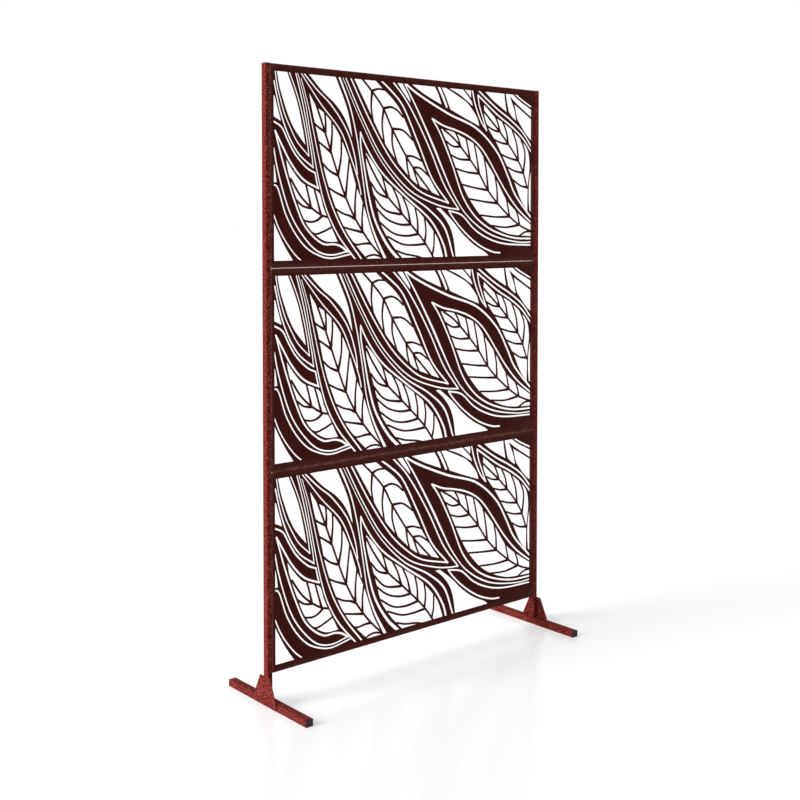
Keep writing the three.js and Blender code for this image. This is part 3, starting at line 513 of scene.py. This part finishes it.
def triangulate(rings):
    """Triangles over rings of points, every ring side kept as an edge."""
    points = np.vstack(rings)
    edges = []
    base = 0
    for ring in rings:
        n = len(ring)
        edges += [(base + i, base + (i + 1) % n) for i in range(n)]
        base += n
    verts, _, faces, *_ = delaunay_2d_cdt([Vector(p) for p in points], edges, [], 0, 1e-4, False)
    return np.array([v[:] for v in verts]), np.array([f for f in faces if len(f) == 3])


def boundary_loops(triangles):
    """The directed loops around a set of triangles."""
    sides = {}
    for tri in triangles:
        for a, b in ((tri[0], tri[1]), (tri[1], tri[2]), (tri[2], tri[0])):
            sides[(a, b)] = True
    rim = {}
    for a, b in sides:
        if (b, a) not in sides:
            rim.setdefault(a, []).append(b)
    loops = []
    while rim:
        start = next(iter(rim))
        loop = [start]
        at = start
        while True:
            nxt = rim[at].pop()
            if not rim[at]:
                del rim[at]
            if nxt == start:
                break
            loop.append(nxt)
            at = nxt
        loops.append(loop)
    return loops


def grouped(triangles):
    """A group number for each triangle: triangles that share an edge are in one group."""
    owner = {}
    parent = list(range(len(triangles)))

    def root(i):
        while parent[i] != i:
            parent[i] = parent[parent[i]]
            i = parent[i]
        return i

    for i, tri in enumerate(triangles):
        for a, b in ((tri[0], tri[1]), (tri[1], tri[2]), (tri[2], tri[0])):
            key = (min(a, b), max(a, b))
            if key in owner:
                parent[root(i)] = root(owner[key])
            else:
                owner[key] = i
    return np.array([root(i) for i in range(len(triangles))])


def straightened(loop):
    """A loop without the points that lie on a straight side."""
    before, after = loop - np.roll(loop, 1, 0), np.roll(loop, -1, 0) - loop
    turn = before[:, 0] * after[:, 1] - before[:, 1] * after[:, 0]
    size = np.linalg.norm(before, axis=1) * np.linalg.norm(after, axis=1)
    return loop[np.abs(turn) > 1e-4 * size]


def cut_loops():
    """The outlines of the openings cut in one panel."""
    slits = [ribbon(smooth_line(s["line"]), [w * KERF_SHARE for w in s["width"]]) for s in SLITS]
    panes = [ring_of(edges) for edges in PANES]
    leaves = []
    for leaf in LEAVES:
        spine = smooth_line(leaf["midrib"])
        ribs = [ribbon(spine, [MIDRIB], False)]
        ribs += [ribbon(vein_rows(v, spine), [VEIN, VEIN, VEIN_ROOT], False) for v in leaf["veins"]]
        ribs += [ribbon(smooth_line(tie), [VEIN], False) for tie in leaf.get("ties", [])]
        leaves.append((ring_of([leaf["left"], leaf["right"][::-1]]), ribs))
    x, z0, z1 = PANEL_WIDTH / 2 - SIDE_MARGIN, END_MARGIN, PANEL_HEIGHT - END_MARGIN
    field = np.array([[-x, z0], [x, z0], [x, z1], [-x, z1]])
    rings = [field, *slits, *panes]
    for leaf, ribs in leaves:
        rings += [leaf, *ribs]
    verts, tris = triangulate(rings)
    middle = verts[tris].mean(1)
    cut = np.zeros(len(tris), bool)
    for ring in slits + panes:
        cut |= inside(middle, ring)
    for leaf, ribs in leaves:
        part = inside(middle, leaf)
        for rib in ribs:
            part &= ~inside(middle, rib)
        cut |= part
    cut &= inside(middle, field)
    a, b, c = (verts[tris[:, k]] for k in range(3))
    area = np.abs((b - a)[:, 0] * (c - a)[:, 1] - (b - a)[:, 1] * (c - a)[:, 0]) / 2
    holes = tris[cut]
    group = grouped(holes)
    total = {g: area[cut][group == g].sum() for g in set(group)}
    big = np.array([total[g] > LEAST_OPENING for g in group])
    return [straightened(verts[loop]) for loop in boundary_loops(holes[big])]


# ---------------------------------------------------------------------------------------------------------
# Mesh helpers: lengths in millimetres here, objects in metres
# ---------------------------------------------------------------------------------------------------------
def make_object(name, verts, faces, material, worn):
    """A mesh object; worn gives the share of the paler rim at each point, which stands for wear and for a
    painted highlight.
    """
    mesh = bpy.data.meshes.new(name)
    mesh.from_pydata([tuple(c * 0.001 for c in v) for v in verts], [], faces)
    mesh.validate()
    bm = bmesh.new()
    bm.from_mesh(mesh)
    bmesh.ops.recalc_face_normals(bm, faces=bm.faces)
    bm.to_mesh(mesh)
    bm.free()
    mesh.polygons.foreach_set("use_smooth", [True] * len(mesh.polygons))
    mesh.set_sharp_from_angle(angle=math.radians(SHARP_FROM))
    # the rim attribute carries those shares: a paler colour painted as wear and as highlight on edges and
    # folds
    rim = mesh.attributes.new("rim", "FLOAT", "POINT")
    values = np.zeros(len(mesh.vertices), np.float32)
    values[list(worn)] = list(worn.values())
    rim.data.foreach_set("value", values)
    mesh.materials.append(material)
    obj = bpy.data.objects.new(name, mesh)
    bpy.context.scene.collection.objects.link(obj)
    return obj


def rounded_ring(width, depth, radius, segments=6):
    """A rounded rectangle in the XY plane, counter-clockwise."""
    out = []
    for cx, cy, start in (
        (width / 2 - radius, depth / 2 - radius, 0),
        (-width / 2 + radius, depth / 2 - radius, 90),
        (-width / 2 + radius, -depth / 2 + radius, 180),
        (width / 2 - radius, -depth / 2 + radius, 270),
    ):
        for i in range(segments + 1):
            t = math.radians(start + 90 * i / segments)
            out.append((cx + radius * math.cos(t), cy + radius * math.sin(t)))
    return out


def loft(rings, close=False):
    """Side faces between rings of equal length; with close, the last ring joins the first."""
    n = len(rings[0])
    verts = [p for ring in rings for p in ring]
    faces = []
    pairs = [(i, i + 1) for i in range(len(rings) - 1)]
    if close:
        pairs.append((len(rings) - 1, 0))
    for a, b in pairs:
        for j in range(n):
            k = (j + 1) % n
            faces.append((a * n + j, a * n + k, b * n + k, b * n + j))
    return verts, faces


def tube(width, depth, wall, length):
    """An open tube along +Z with eased ends; the points of the paler rim, wear and painted highlight, are
    those of the ends.
    """

    def outer(inset):
        return rounded_ring(width - 2 * inset, depth - 2 * inset, TUBE_RADIUS - inset)

    bore = rounded_ring(width - 2 * wall, depth - 2 * wall, max(TUBE_RADIUS - wall, 0.5))
    n = len(bore)
    levels = [
        (outer(0), TUBE_EASE), (outer(0), length - TUBE_EASE), (outer(TUBE_EASE), length),
        (bore, length), (bore, 0), (outer(TUBE_EASE), 0),
    ]
    rings = [[(x, y, z) for x, y in ring] for ring, z in levels]
    verts, faces = loft(rings, close=True)
    return verts, faces, dict.fromkeys(range(2 * n, 6 * n), 1.0)


def plug(width, depth, wall, head):
    """A tube plug: a softly rounded head at z 0 to head, and a hollow skirt below."""
    fit = wall + PLUG_CLEARANCE
    skirt = rounded_ring(width - 2 * fit, depth - 2 * fit, 1.0)
    hollow = rounded_ring(width - 2 * fit - 2 * PLUG_WALL, depth - 2 * fit - 2 * PLUG_WALL, 0.5)
    levels = [
        (hollow, -0.8 * INSERT), (hollow, -INSERT), (skirt, -INSERT), (skirt, 0.0),
        (rounded_ring(width - 2 * PLUG_EASE, depth - 2 * PLUG_EASE, TUBE_RADIUS), 0.0),
        (rounded_ring(width, depth, TUBE_RADIUS), PLUG_EASE),
    ]
    for t in (0, 22.5, 45, 67.5, 90):
        a = math.radians(t)
        inset = PLUG_ROUND * (1 - math.cos(a))
        ring = rounded_ring(width - 2 * inset, depth - 2 * inset, TUBE_RADIUS - inset * 0.6)
        levels.append((ring, head - PLUG_ROUND * (1 - math.sin(a))))
    rings = [[(x, y, z) for x, y in ring] for ring, z in levels]
    verts, faces = loft(rings)
    n = len(rings[0])
    faces.append(tuple(range(n))[::-1])
    faces.append(tuple(range(len(verts) - n, len(verts))))
    return verts, faces


def turned(verts, sign=1):
    """Turns lengths along +Z to +Y, or to -Y with sign -1."""
    return [(x, sign * z, y) for x, y, z in verts]


def moved(verts, dx=0.0, dy=0.0, dz=0.0):
    """Points shifted along the three axes."""
    return [(x + dx, y + dy, z + dz) for x, y, z in verts]


def button_head(head, height, shank, length, socket):
    """A button-head screw along +Z: its head's flat at z = 0, the head below, with a hexagon socket."""
    n = 30
    turn = [2 * math.pi * i / n for i in range(n)]

    def circle(r, z):
        return [(r * math.cos(t), r * math.sin(t), z) for t in turn]

    def hexagon(r, z):
        out = []
        for t in turn:
            w = (t % (math.pi / 3)) - math.pi / 6
            s = r * math.cos(math.pi / 6) / math.cos(w)
            out.append((s * math.cos(t), s * math.sin(t), z))
        return out

    # from the socket's floor up its sides, over the dome to the rim, and along the shank to its tip
    rings = [hexagon(socket * 0.86, -height * 0.35), hexagon(socket, -height * 0.45)]
    rings += [hexagon(socket, -height * 0.97), circle(socket * 1.12, -height)]
    for degrees in (38, 48, 58, 68, 76, 83):
        a = math.radians(degrees)
        rings.append(circle(head / 2 * math.sin(a), -height * (math.cos(a) - 0.12) / 0.88))
    rings += [circle(head / 2, -height * 0.1), circle(head / 2, 0), circle(shank / 2, 0)]
    rings += [circle(shank / 2, length - SHANK_TIP), circle(shank / 2 - SHANK_TIP, length)]
    verts, faces = loft(rings)
    faces.append(tuple(range(n)))
    faces.append(tuple(range(len(verts) - n, len(verts))))
    return verts, faces


# ---------------------------------------------------------------------------------------------------------
# Panel: the cut plate with eased edges, folded back on four sides
# ---------------------------------------------------------------------------------------------------------
def panel_shape():
    """Vertices, faces and paler-rim points (wear and painted highlight) of one panel, x from its middle, y
    from its face, z from its foot.
    """
    half, low, high = PANEL_WIDTH / 2 - BEND, BEND, PANEL_HEIGHT - BEND
    corners = [(-half, low), (half, low), (half, high), (-half, high)]
    border = []
    for i, (x, z) in enumerate(corners):
        sx, sz = math.copysign(RELIEF, -x), RELIEF if z == low else -RELIEF
        ahead = (x + sx, z) if i % 2 == 0 else (x, z + sz)
        behind = (x, z + sz) if i % 2 == 0 else (x + sx, z)
        border += [behind, (x, z), ahead]
    loops = cut_loops()
    points, tris = triangulate([np.array(border)] + loops)
    # a triangle is metal when its middle lies inside the border and in no opening
    middle = points[tris].mean(1)
    metal = inside(middle, np.array(border))
    for loop in loops:
        metal &= ~inside(middle, loop)
    tris = tris[metal]
    a, b, c = (points[tris[:, k]] for k in range(3))
    flip = (b - a)[:, 0] * (c - a)[:, 1] - (b - a)[:, 1] * (c - a)[:, 0] < 0
    tris[flip] = tris[flip][:, ::-1]

    n = len(points)
    on_border = {}
    for k, p in enumerate(border):
        gap = np.abs(points - np.array(p)).sum(1)
        on_border[int(gap.argmin())] = k
    inset = points.copy()
    rims = [loop for loop in boundary_loops(tris) if not set(loop) & set(on_border)]
    for loop in rims:
        ring = points[loop]
        before, after = ring - np.roll(ring, 1, 0), np.roll(ring, -1, 0) - ring
        before /= np.linalg.norm(before, axis=1)[:, None]
        after /= np.linalg.norm(after, axis=1)[:, None]
        n1 = np.stack([-before[:, 1], before[:, 0]], 1)
        n2 = np.stack([-after[:, 1], after[:, 0]], 1)
        spread = np.maximum(1 + (n1 * n2).sum(1), 0.35)
        inset[loop] = ring + EASE * (n1 + n2) / spread[:, None]

    verts = [(x, 0.0, z) for x, z in inset]
    verts += [(x, EASE, z) for x, z in points]
    verts += [(x, SHEET - EASE, z) for x, z in points]
    verts += [(x, SHEET, z) for x, z in inset]
    faces = [tuple(int(v) for v in t) for t in tris]
    faces += [tuple(int(v) + 3 * n for v in t[::-1]) for t in tris]
    # shares of the paler rim: wear and a painted highlight on the cut edges
    worn = {}
    for loop in rims:
        for i, p in enumerate(loop):
            q = loop[(i + 1) % len(loop)]
            for layer in range(3):
                faces.append((p + layer * n, p + (layer + 1) * n, q + (layer + 1) * n, q + layer * n))
        worn.update((p + layer * n, CUT_WEAR_AND_HIGHLIGHT) for p in loop for layer in (1, 2))

    # the folded edges, joined to the plate's four sides
    index = {k: v for v, k in on_border.items()}
    for side in range(4):
        start, end = index[3 * side + 2], index[(3 * side + 3) % 12]
        out = [(0, -1), (1, 0), (0, 1), (-1, 0)][side]
        section = []
        for i in range(1, FOLD_STEPS + 1):
            t = math.radians(90 * i / FOLD_STEPS)
            section.append((BEND * math.sin(t), BEND * (1 - math.cos(t))))
        depth = BEND + FLANGE
        section += [(BEND, depth - EASE), (BEND - EASE, depth), (BEND - SHEET + EASE, depth)]
        section += [(BEND - SHEET, depth - EASE)]
        inner = BEND - SHEET
        for i in range(FOLD_STEPS, 0, -1):
            t = math.radians(90 * i / FOLD_STEPS)
            section.append((inner * math.sin(t), BEND - inner * math.cos(t)))
        rows = []
        for v in (start, end):
            x, z = points[v]
            first = len(verts)
            verts += [(x + out[0] * s, d, z + out[1] * s) for s, d in section]
            rows.append([v, *range(first, first + len(section)), v + 3 * n])
        for i in range(len(rows[0]) - 1):
            faces.append((rows[0][i], rows[0][i + 1], rows[1][i + 1], rows[1][i]))
        faces.append(tuple(rows[0]))
        faces.append(tuple(rows[1][::-1]))
        # the folds get the paler rim, mostly a painted highlight along the seams between panels, partly wear
        worn.update((row[k], share) for row in rows for k, share in FOLD_HIGHLIGHT_AND_WEAR.items())
        corner = index[(3 * side + 4) % 12]
        beyond = index[(3 * side + 5) % 12]
        for p, q in ((end, corner), (corner, beyond)):
            faces.append((p, p + 3 * n, q + 3 * n, q))
    return verts, faces, worn


# ---------------------------------------------------------------------------------------------------------
# Materials
# ---------------------------------------------------------------------------------------------------------
def linear(r, g, b):
    """An sRGB colour, 0 to 255, as the linear colour that a shader takes."""
    steps = [c / 255 / 12.92 if c <= 10 else ((c / 255 + 0.055) / 1.055) ** 2.4 for c in (r, g, b)]
    return (*steps, 1.0)


class Nodes:
    """The node tree of a new material or world, with short ways to add and link nodes."""

    def __init__(self, owner):
        owner.use_nodes = True
        self.owner = owner
        self.tree = owner.node_tree
        self.shader = self.tree.nodes.get("Principled BSDF")

    def add(self, kind, **values):
        """A node, with each value set on the input or the property of that name."""
        node = self.tree.nodes.new(kind)
        for key, value in values.items():
            if key in node.inputs:
                node.inputs[key].default_value = value
            else:
                setattr(node, key, value)
        return node

    def link(self, a, b):
        self.tree.links.new(a, b)

    def feed(self, socket, value):
        """Links another node's output to a socket, or sets a plain value on it."""
        if isinstance(value, bpy.types.NodeSocket):
            self.link(value, socket)
        else:
            socket.default_value = value

    def math(self, operation, a, b):
        node = self.add("ShaderNodeMath", operation=operation)
        self.feed(node.inputs[0], a)
        self.feed(node.inputs[1], b)
        return node.outputs[0]

    def noise(self, coords, scale, detail=3.0, rough=0.55):
        node = self.add("ShaderNodeTexNoise", Scale=scale, Detail=detail, Roughness=rough)
        self.link(coords, node.inputs["Vector"])
        return node.outputs["Fac"]

    def ramp(self, fac, stops):
        node = self.add("ShaderNodeValToRGB")
        ramp = node.color_ramp
        while len(ramp.elements) < len(stops):
            ramp.elements.new(0.5)
        for element, (at, colour) in zip(ramp.elements, stops):
            element.position = at
            element.color = colour
        self.link(fac, node.inputs["Fac"])
        return node.outputs["Color"]

    def mix(self, fac, a, b, blend="MIX"):
        node = self.tree.nodes.new("ShaderNodeMix")
        node.data_type = "RGBA"
        node.blend_type = blend
        self.feed(node.inputs["Factor"], fac)
        self.feed(node.inputs[6], a)
        self.feed(node.inputs[7], b)
        return node.outputs[2]


def grey(v):
    return (v, v, v, 1.0)


def powder_coat(name, base, deep, fleck, rim, speckle, rough, texture, specular):
    """A powder coat: cloudy tone, fine flecks, an orange-peel skin, and a paler rim that is partly wear and
    partly a painted highlight.
    """
    m = Nodes(bpy.data.materials.new(name))
    coords = m.add("ShaderNodeTexCoord").outputs["Object"]
    cloud = m.noise(coords, 9.0, 4.0)
    tone = m.mix(m.ramp(cloud, [(0.3, grey(0.0)), (0.7, grey(1.0))]), deep, base)
    grain = m.noise(coords, 240.0, 4.0, 0.75)
    flecks = m.ramp(grain, [(0.5, grey(0.0)), (0.6, grey(speckle))])
    tone = m.mix(flecks, tone, fleck)
    # the rim attribute mixes in the rim colour, in patches: partly wear, partly a painted highlight on edges
    # and folds
    attribute = m.add("ShaderNodeAttribute", attribute_name="rim")
    patch = m.noise(coords, 60.0, 3.0, 0.7)
    patches = m.ramp(patch, [(0.35, grey(0.25)), (0.65, grey(0.9))])
    wear_and_highlight = m.mix(1.0, patches, attribute.outputs["Color"], "MULTIPLY")
    tone = m.mix(wear_and_highlight, tone, rim)
    m.link(tone, m.shader.inputs["Base Color"])
    dull = m.ramp(m.noise(coords, 40.0), [(0.3, grey(rough - 0.06)), (0.7, grey(rough + 0.08))])
    m.link(dull, m.shader.inputs["Roughness"])
    peel = m.noise(coords, 420.0, 3.0, 0.55)
    bump = m.add("ShaderNodeBump", Strength=texture, Distance=0.0006)
    m.link(peel, bump.inputs["Height"])
    m.link(bump.outputs["Normal"], m.shader.inputs["Normal"])
    m.shader.inputs["Specular IOR Level"].default_value = specular
    return m.owner


def moulded_plastic(name, base, worn):
    """A matte plastic: two cloudy tones and a fine grain."""
    m = Nodes(bpy.data.materials.new(name))
    coords = m.add("ShaderNodeTexCoord").outputs["Object"]
    cloud = m.noise(coords, 90.0, 4.0)
    tone = m.mix(m.ramp(cloud, [(0.4, grey(0.0)), (0.75, grey(1.0))]), base, worn)
    m.link(tone, m.shader.inputs["Base Color"])
    dull = m.ramp(m.noise(coords, 300.0), [(0.3, grey(0.5)), (0.7, grey(0.68))])
    m.link(dull, m.shader.inputs["Roughness"])
    bump = m.add("ShaderNodeBump", Strength=0.25, Distance=0.0002)
    m.link(m.noise(coords, 1500.0, 2.0), bump.inputs["Height"])
    m.link(bump.outputs["Normal"], m.shader.inputs["Normal"])
    m.shader.inputs["Specular IOR Level"].default_value = 0.4
    return m.owner


def zinc(name):
    """Bright zinc plating: a faintly yellow cloudiness and an uneven shine."""
    m = Nodes(bpy.data.materials.new(name))
    coords = m.add("ShaderNodeTexCoord").outputs["Object"]
    cloud = m.noise(coords, 160.0, 4.0)
    tone = m.ramp(cloud, [(0.3, linear(168, 170, 172)), (0.7, linear(205, 203, 190))])
    m.link(tone, m.shader.inputs["Base Color"])
    dull = m.ramp(m.noise(coords, 500.0), [(0.3, grey(0.28)), (0.7, grey(0.46))])
    m.link(dull, m.shader.inputs["Roughness"])
    m.shader.inputs["Metallic"].default_value = 1.0
    return m.owner


# each coat's fourth colour is its paler rim, wear and painted highlight; the panel's pale pink rim paints the
# highlight along the seams
PANEL_COAT = powder_coat(
    "panel_coat", linear(71, 24, 19), linear(61, 19, 14), linear(94, 38, 32), linear(196, 138, 128),
    0.35, 0.5, 0.22, 0.05,
)
FRAME_COAT = powder_coat(
    "frame_coat", linear(84, 21, 16), linear(66, 14, 10), linear(196, 84, 80), linear(150, 56, 50),
    0.75, 0.62, 0.55, 0.05,
)
BOLT_COAT = powder_coat(
    "bolt_coat", linear(104, 33, 27), linear(82, 23, 18), linear(170, 66, 60), linear(150, 66, 60),
    0.5, 0.42, 0.2, 0.12,
)
CAP_PLASTIC = moulded_plastic("cap_plastic", linear(40, 17, 14), linear(56, 26, 22))
ZINC = zinc("zinc_steel")

# ---------------------------------------------------------------------------------------------------------
# Pieces
# ---------------------------------------------------------------------------------------------------------
def piece(name, shape, material, node):
    """One piece from its points, its faces and, where it has a paler rim of wear and painted highlight, the
    shares of that rim, in a node's place.
    """
    verts, faces, *worn = shape
    obj = make_object(name, verts, faces, material, *(worn or [{}]))
    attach(obj, "root")
    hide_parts(node)


def brace_shape():
    """The brace plate in the YZ plane with eased edges, thickness from x = 0 to BRACE."""
    corners = [Vector(corner) for corner in BRACE_OUTLINE]
    ring = []
    for i, c in enumerate(corners):
        a = c + (corners[i - 1] - c).normalized() * BRACE_CORNER
        b = c + (corners[(i + 1) % len(corners)] - c).normalized() * BRACE_CORNER
        for j in range(7):
            t = j / 6
            ring.append(a * (1 - t) ** 2 + c * 2 * t * (1 - t) + b * t**2)
    n = len(ring)
    tangents = [(ring[(i + 1) % n] - ring[i - 1]).normalized() for i in range(n)]
    inner = [p + Vector((-t.y, t.x)) * EASE for p, t in zip(ring, tangents)]
    levels = [(inner, 0.0), (ring, EASE), (ring, BRACE - EASE), (inner, BRACE)]
    verts, faces = loft([[(x, p.x, p.y) for p in shape] for shape, x in levels])
    faces += [tuple(range(n))[::-1], tuple(range(3 * n, 4 * n))]
    # the eased edges get the paler rim: wear and a painted highlight
    return verts, faces, dict.fromkeys(range(n, 3 * n), 1.0)


# the panels, each with the height of its lower edge
LEVELS = ("bottom", "middle", "top")
LIFTS = {level: BOTTOM + order * (PANEL_HEIGHT + PANEL_GAP) for order, level in enumerate(LEVELS)}
panel = panel_shape()
for level, lift in LIFTS.items():
    piece(f"cut_panel_{level}", (moved(panel[0], dy=FRONT_Y, dz=lift), *panel[1:]),
          PANEL_COAT, f"panel_{level}")

# the frame and its hardware, the same on both sides
upright = tube(*UPRIGHT, SCREEN_HEIGHT - CAP - FOOT[1])
foot = tube(*FOOT, FOOT_LENGTH - 2 * PLUG)
cap = plug(*UPRIGHT, CAP)
foot_plug = plug(*FOOT, PLUG)
bolt = button_head(head=10.5, height=2.8, shank=BOLT_SHANK, length=BOLT_LENGTH, socket=2.1)
screw = button_head(head=9.5, height=2.4, shank=SCREW_SHANK, length=SCREW_LENGTH, socket=1.75)
brace = brace_shape()

for side, sign in (("left", -1), ("right", 1)):
    outer = sign * HALF
    ux = outer - sign * UPRIGHT[0] / 2
    fx = outer - sign * FOOT[0] / 2
    piece(f"tube_upright_{side}", (moved(upright[0], ux, 0, FOOT[1]), upright[1], upright[2]),
          FRAME_COAT, f"upright_{side}")
    piece(f"top_cap_{side}", (moved(cap[0], ux, 0, SCREEN_HEIGHT - CAP), cap[1]),
          CAP_PLASTIC, f"upright_cap_{side}")
    length = FOOT_LENGTH / 2 - PLUG
    piece(f"tube_foot_{side}", (moved(turned(foot[0]), fx, -length, FOOT[1] / 2), foot[1], foot[2]),
          FRAME_COAT, f"foot_{side}")
    for end, way in (("front", -1), ("back", 1)):
        place = moved(turned(foot_plug[0], way), fx, way * length, FOOT[1] / 2)
        piece(f"end_plug_{side}_{end}", (place, foot_plug[1]),
              CAP_PLASTIC, f"foot_plug_{side}_{end}")
    inner_face = outer + sign * (NUT_FLANGE + 2 * SEAT)
    place = [(inner_face + sign * x, y, z) for x, y, z in brace[0]]
    piece(f"brace_{side}", (place, brace[1], brace[2]), FRAME_COAT, f"brace_plate_{side}")
    head = inner_face + sign * (BRACE + SEAT)
    for name, y, z in BRACE_BOLTS:
        place = [(head - sign * z0, y + y0, z + x0) for x0, y0, z0 in bolt[0]]
        piece(f"bolt_{side}_{name}", (place, bolt[1]), BOLT_COAT, f"brace_bolt_{side}_{name}")
    seat = sign * (PANEL_WIDTH / 2 - SHEET - SEAT)
    for level, lift in LIFTS.items():
        for name, z in (("low", lift + SCREW_INSET), ("high", lift + PANEL_HEIGHT - SCREW_INSET)):
            place = [(seat + sign * z0, y0, z + x0) for x0, y0, z0 in screw[0]]
            piece(f"screw_{side}_{level}_{name}", (place, screw[1]), BOLT_COAT,
                  f"panel_screw_{side}_{level}_{name}")

# the rivet nuts stay the solids' own, plated
for name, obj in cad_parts.items():
    if "_nut_" in name:
        obj.data.materials.clear()
        obj.data.materials.append(ZINC)

# ---------------------------------------------------------------------------------------------------------
# Stage, light and camera
# ---------------------------------------------------------------------------------------------------------
FLOOR_SIDE = 400  # metres, so that the floor's edge lies past the horizon of the camera
FLOOR_GLOW = 0.22
FLOOR_WHITE = 2.25
FLOOR_POLISH = 0.13
SOFT_LEFT = 0.52
SOFT_RIGHT = 0.32


def stage_material():
    """A plain pale floor that shows white to the camera and keeps the object's soft shadow."""
    m = Nodes(bpy.data.materials.new("floor_white"))
    m.tree.nodes.remove(m.shader)
    path = m.add("ShaderNodeLightPath").outputs
    seen = m.math("MAXIMUM", path["Is Camera Ray"], path["Is Glossy Ray"])
    seen = m.math("MAXIMUM", seen, path["Is Transmission Ray"])
    diffuse = m.add("ShaderNodeBsdfDiffuse", Color=grey(0.82))
    glow = m.add("ShaderNodeEmission", Color=grey(1.0), Strength=FLOOR_WHITE)
    mix = m.add("ShaderNodeMixShader")
    m.link(m.math("MULTIPLY", seen, FLOOR_GLOW), mix.inputs[0])
    m.link(diffuse.outputs[0], mix.inputs[1])
    m.link(glow.outputs[0], mix.inputs[2])
    sheen = m.add("ShaderNodeBsdfGlossy", Color=grey(1.0), Roughness=0.22)
    polish = m.add("ShaderNodeMixShader")
    polish.inputs[0].default_value = FLOOR_POLISH
    m.link(mix.outputs[0], polish.inputs[1])
    m.link(sheen.outputs[0], polish.inputs[2])
    m.link(polish.outputs[0], m.tree.nodes["Material Output"].inputs["Surface"])
    return m.owner


def studio_world():
    """Soft light from all round, stronger from the left.

    The camera sees white, and so do mirror and see-through rays that look at the far side."""
    w = Nodes(bpy.data.worlds.new("studio"))
    w.tree.nodes.clear()
    path = w.add("ShaderNodeLightPath").outputs
    split = w.add("ShaderNodeSeparateXYZ")
    w.link(w.add("ShaderNodeTexCoord").outputs["Generated"], split.inputs[0])
    far = w.add("ShaderNodeMapRange", **{"From Min": -0.15, "From Max": 0.45})
    w.link(split.outputs["Y"], far.inputs["Value"])
    mirror = w.math("MAXIMUM", path["Is Glossy Ray"], path["Is Transmission Ray"])
    white = w.math("MAXIMUM", path["Is Camera Ray"], w.math("MULTIPLY", mirror, far.outputs[0]))
    soft = w.add("ShaderNodeMapRange",
                 **{"From Min": -1.0, "From Max": 0.7, "To Min": SOFT_LEFT, "To Max": SOFT_RIGHT})
    w.link(split.outputs["X"], soft.inputs["Value"])
    background = w.add("ShaderNodeBackground")
    w.link(w.mix(white, soft.outputs[0], grey(1.0)), background.inputs["Color"])
    w.link(background.outputs[0], w.add("ShaderNodeOutputWorld").inputs["Surface"])
    return w.owner


def sun(name, direction, strength, angle):
    """A broad lamp without falloff, shining along a direction."""
    light = bpy.data.lights.new(name, "SUN")
    light.energy = strength
    light.angle = math.radians(angle)
    obj = bpy.data.objects.new(name, light)
    obj.rotation_euler = Vector(direction).to_track_quat("-Z", "Y").to_euler()
    bpy.context.scene.collection.objects.link(obj)


def softbox(name, at, towards, width, height, power):
    """A soft lamp of a given size, standing at one point and aimed at another."""
    light = bpy.data.lights.new(name, "AREA")
    light.shape = "RECTANGLE"
    light.size, light.size_y = width, height
    light.energy = power
    obj = bpy.data.objects.new(name, light)
    obj.location = at
    obj.rotation_euler = (Vector(towards) - Vector(at)).to_track_quat("-Z", "Y").to_euler()
    bpy.context.scene.collection.objects.link(obj)


bpy.ops.mesh.primitive_plane_add(size=FLOOR_SIDE, location=(0, 0, 0))
floor = bpy.context.object
floor.name = "floor"
floor.data.materials.append(stage_material())
bpy.context.scene.world = studio_world()
sun("key", (1.0, -0.2, -0.62), 2.8, 28)
softbox("low_left", (-2.9, 0.1, 0.5), (-0.6, 0.0, 0.3), 1.2, 0.7, 20)

# the camera as fitted to the corners of the screen in the photo
PHOTO_SIDE = 800  # pixels
FOCAL = 1188.1  # pixels
CENTRE = (389.33, 264.22)  # where the optical axis meets the photo, in pixels
SENSOR = 36
CAMERA_FROM_CORNER = (-1995.45, -2927.53, 1455.39)  # from the left upright's outer front edge at the floor
CAMERA_PITCH, CAMERA_YAW = -0.0346, -0.7016  # radians

camera = bpy.data.cameras.new("camera")
camera.sensor_width = SENSOR
camera.lens = FOCAL * SENSOR / PHOTO_SIDE
camera.shift_x = (PHOTO_SIDE / 2 - CENTRE[0]) / PHOTO_SIDE
camera.shift_y = (CENTRE[1] - PHOTO_SIDE / 2) / PHOTO_SIDE
camera.clip_end = 200
view = bpy.data.objects.new("camera", camera)
corner = (-HALF, -UPRIGHT[1] / 2, 0.0)
view.location = [(c + d) / 1000 for c, d in zip(corner, CAMERA_FROM_CORNER)]
view.rotation_euler = (math.pi / 2 + CAMERA_PITCH, 0, CAMERA_YAW)
bpy.context.scene.collection.objects.link(view)
bpy.context.scene.camera = view

bpy.context.scene.view_settings.view_transform = "Standard"
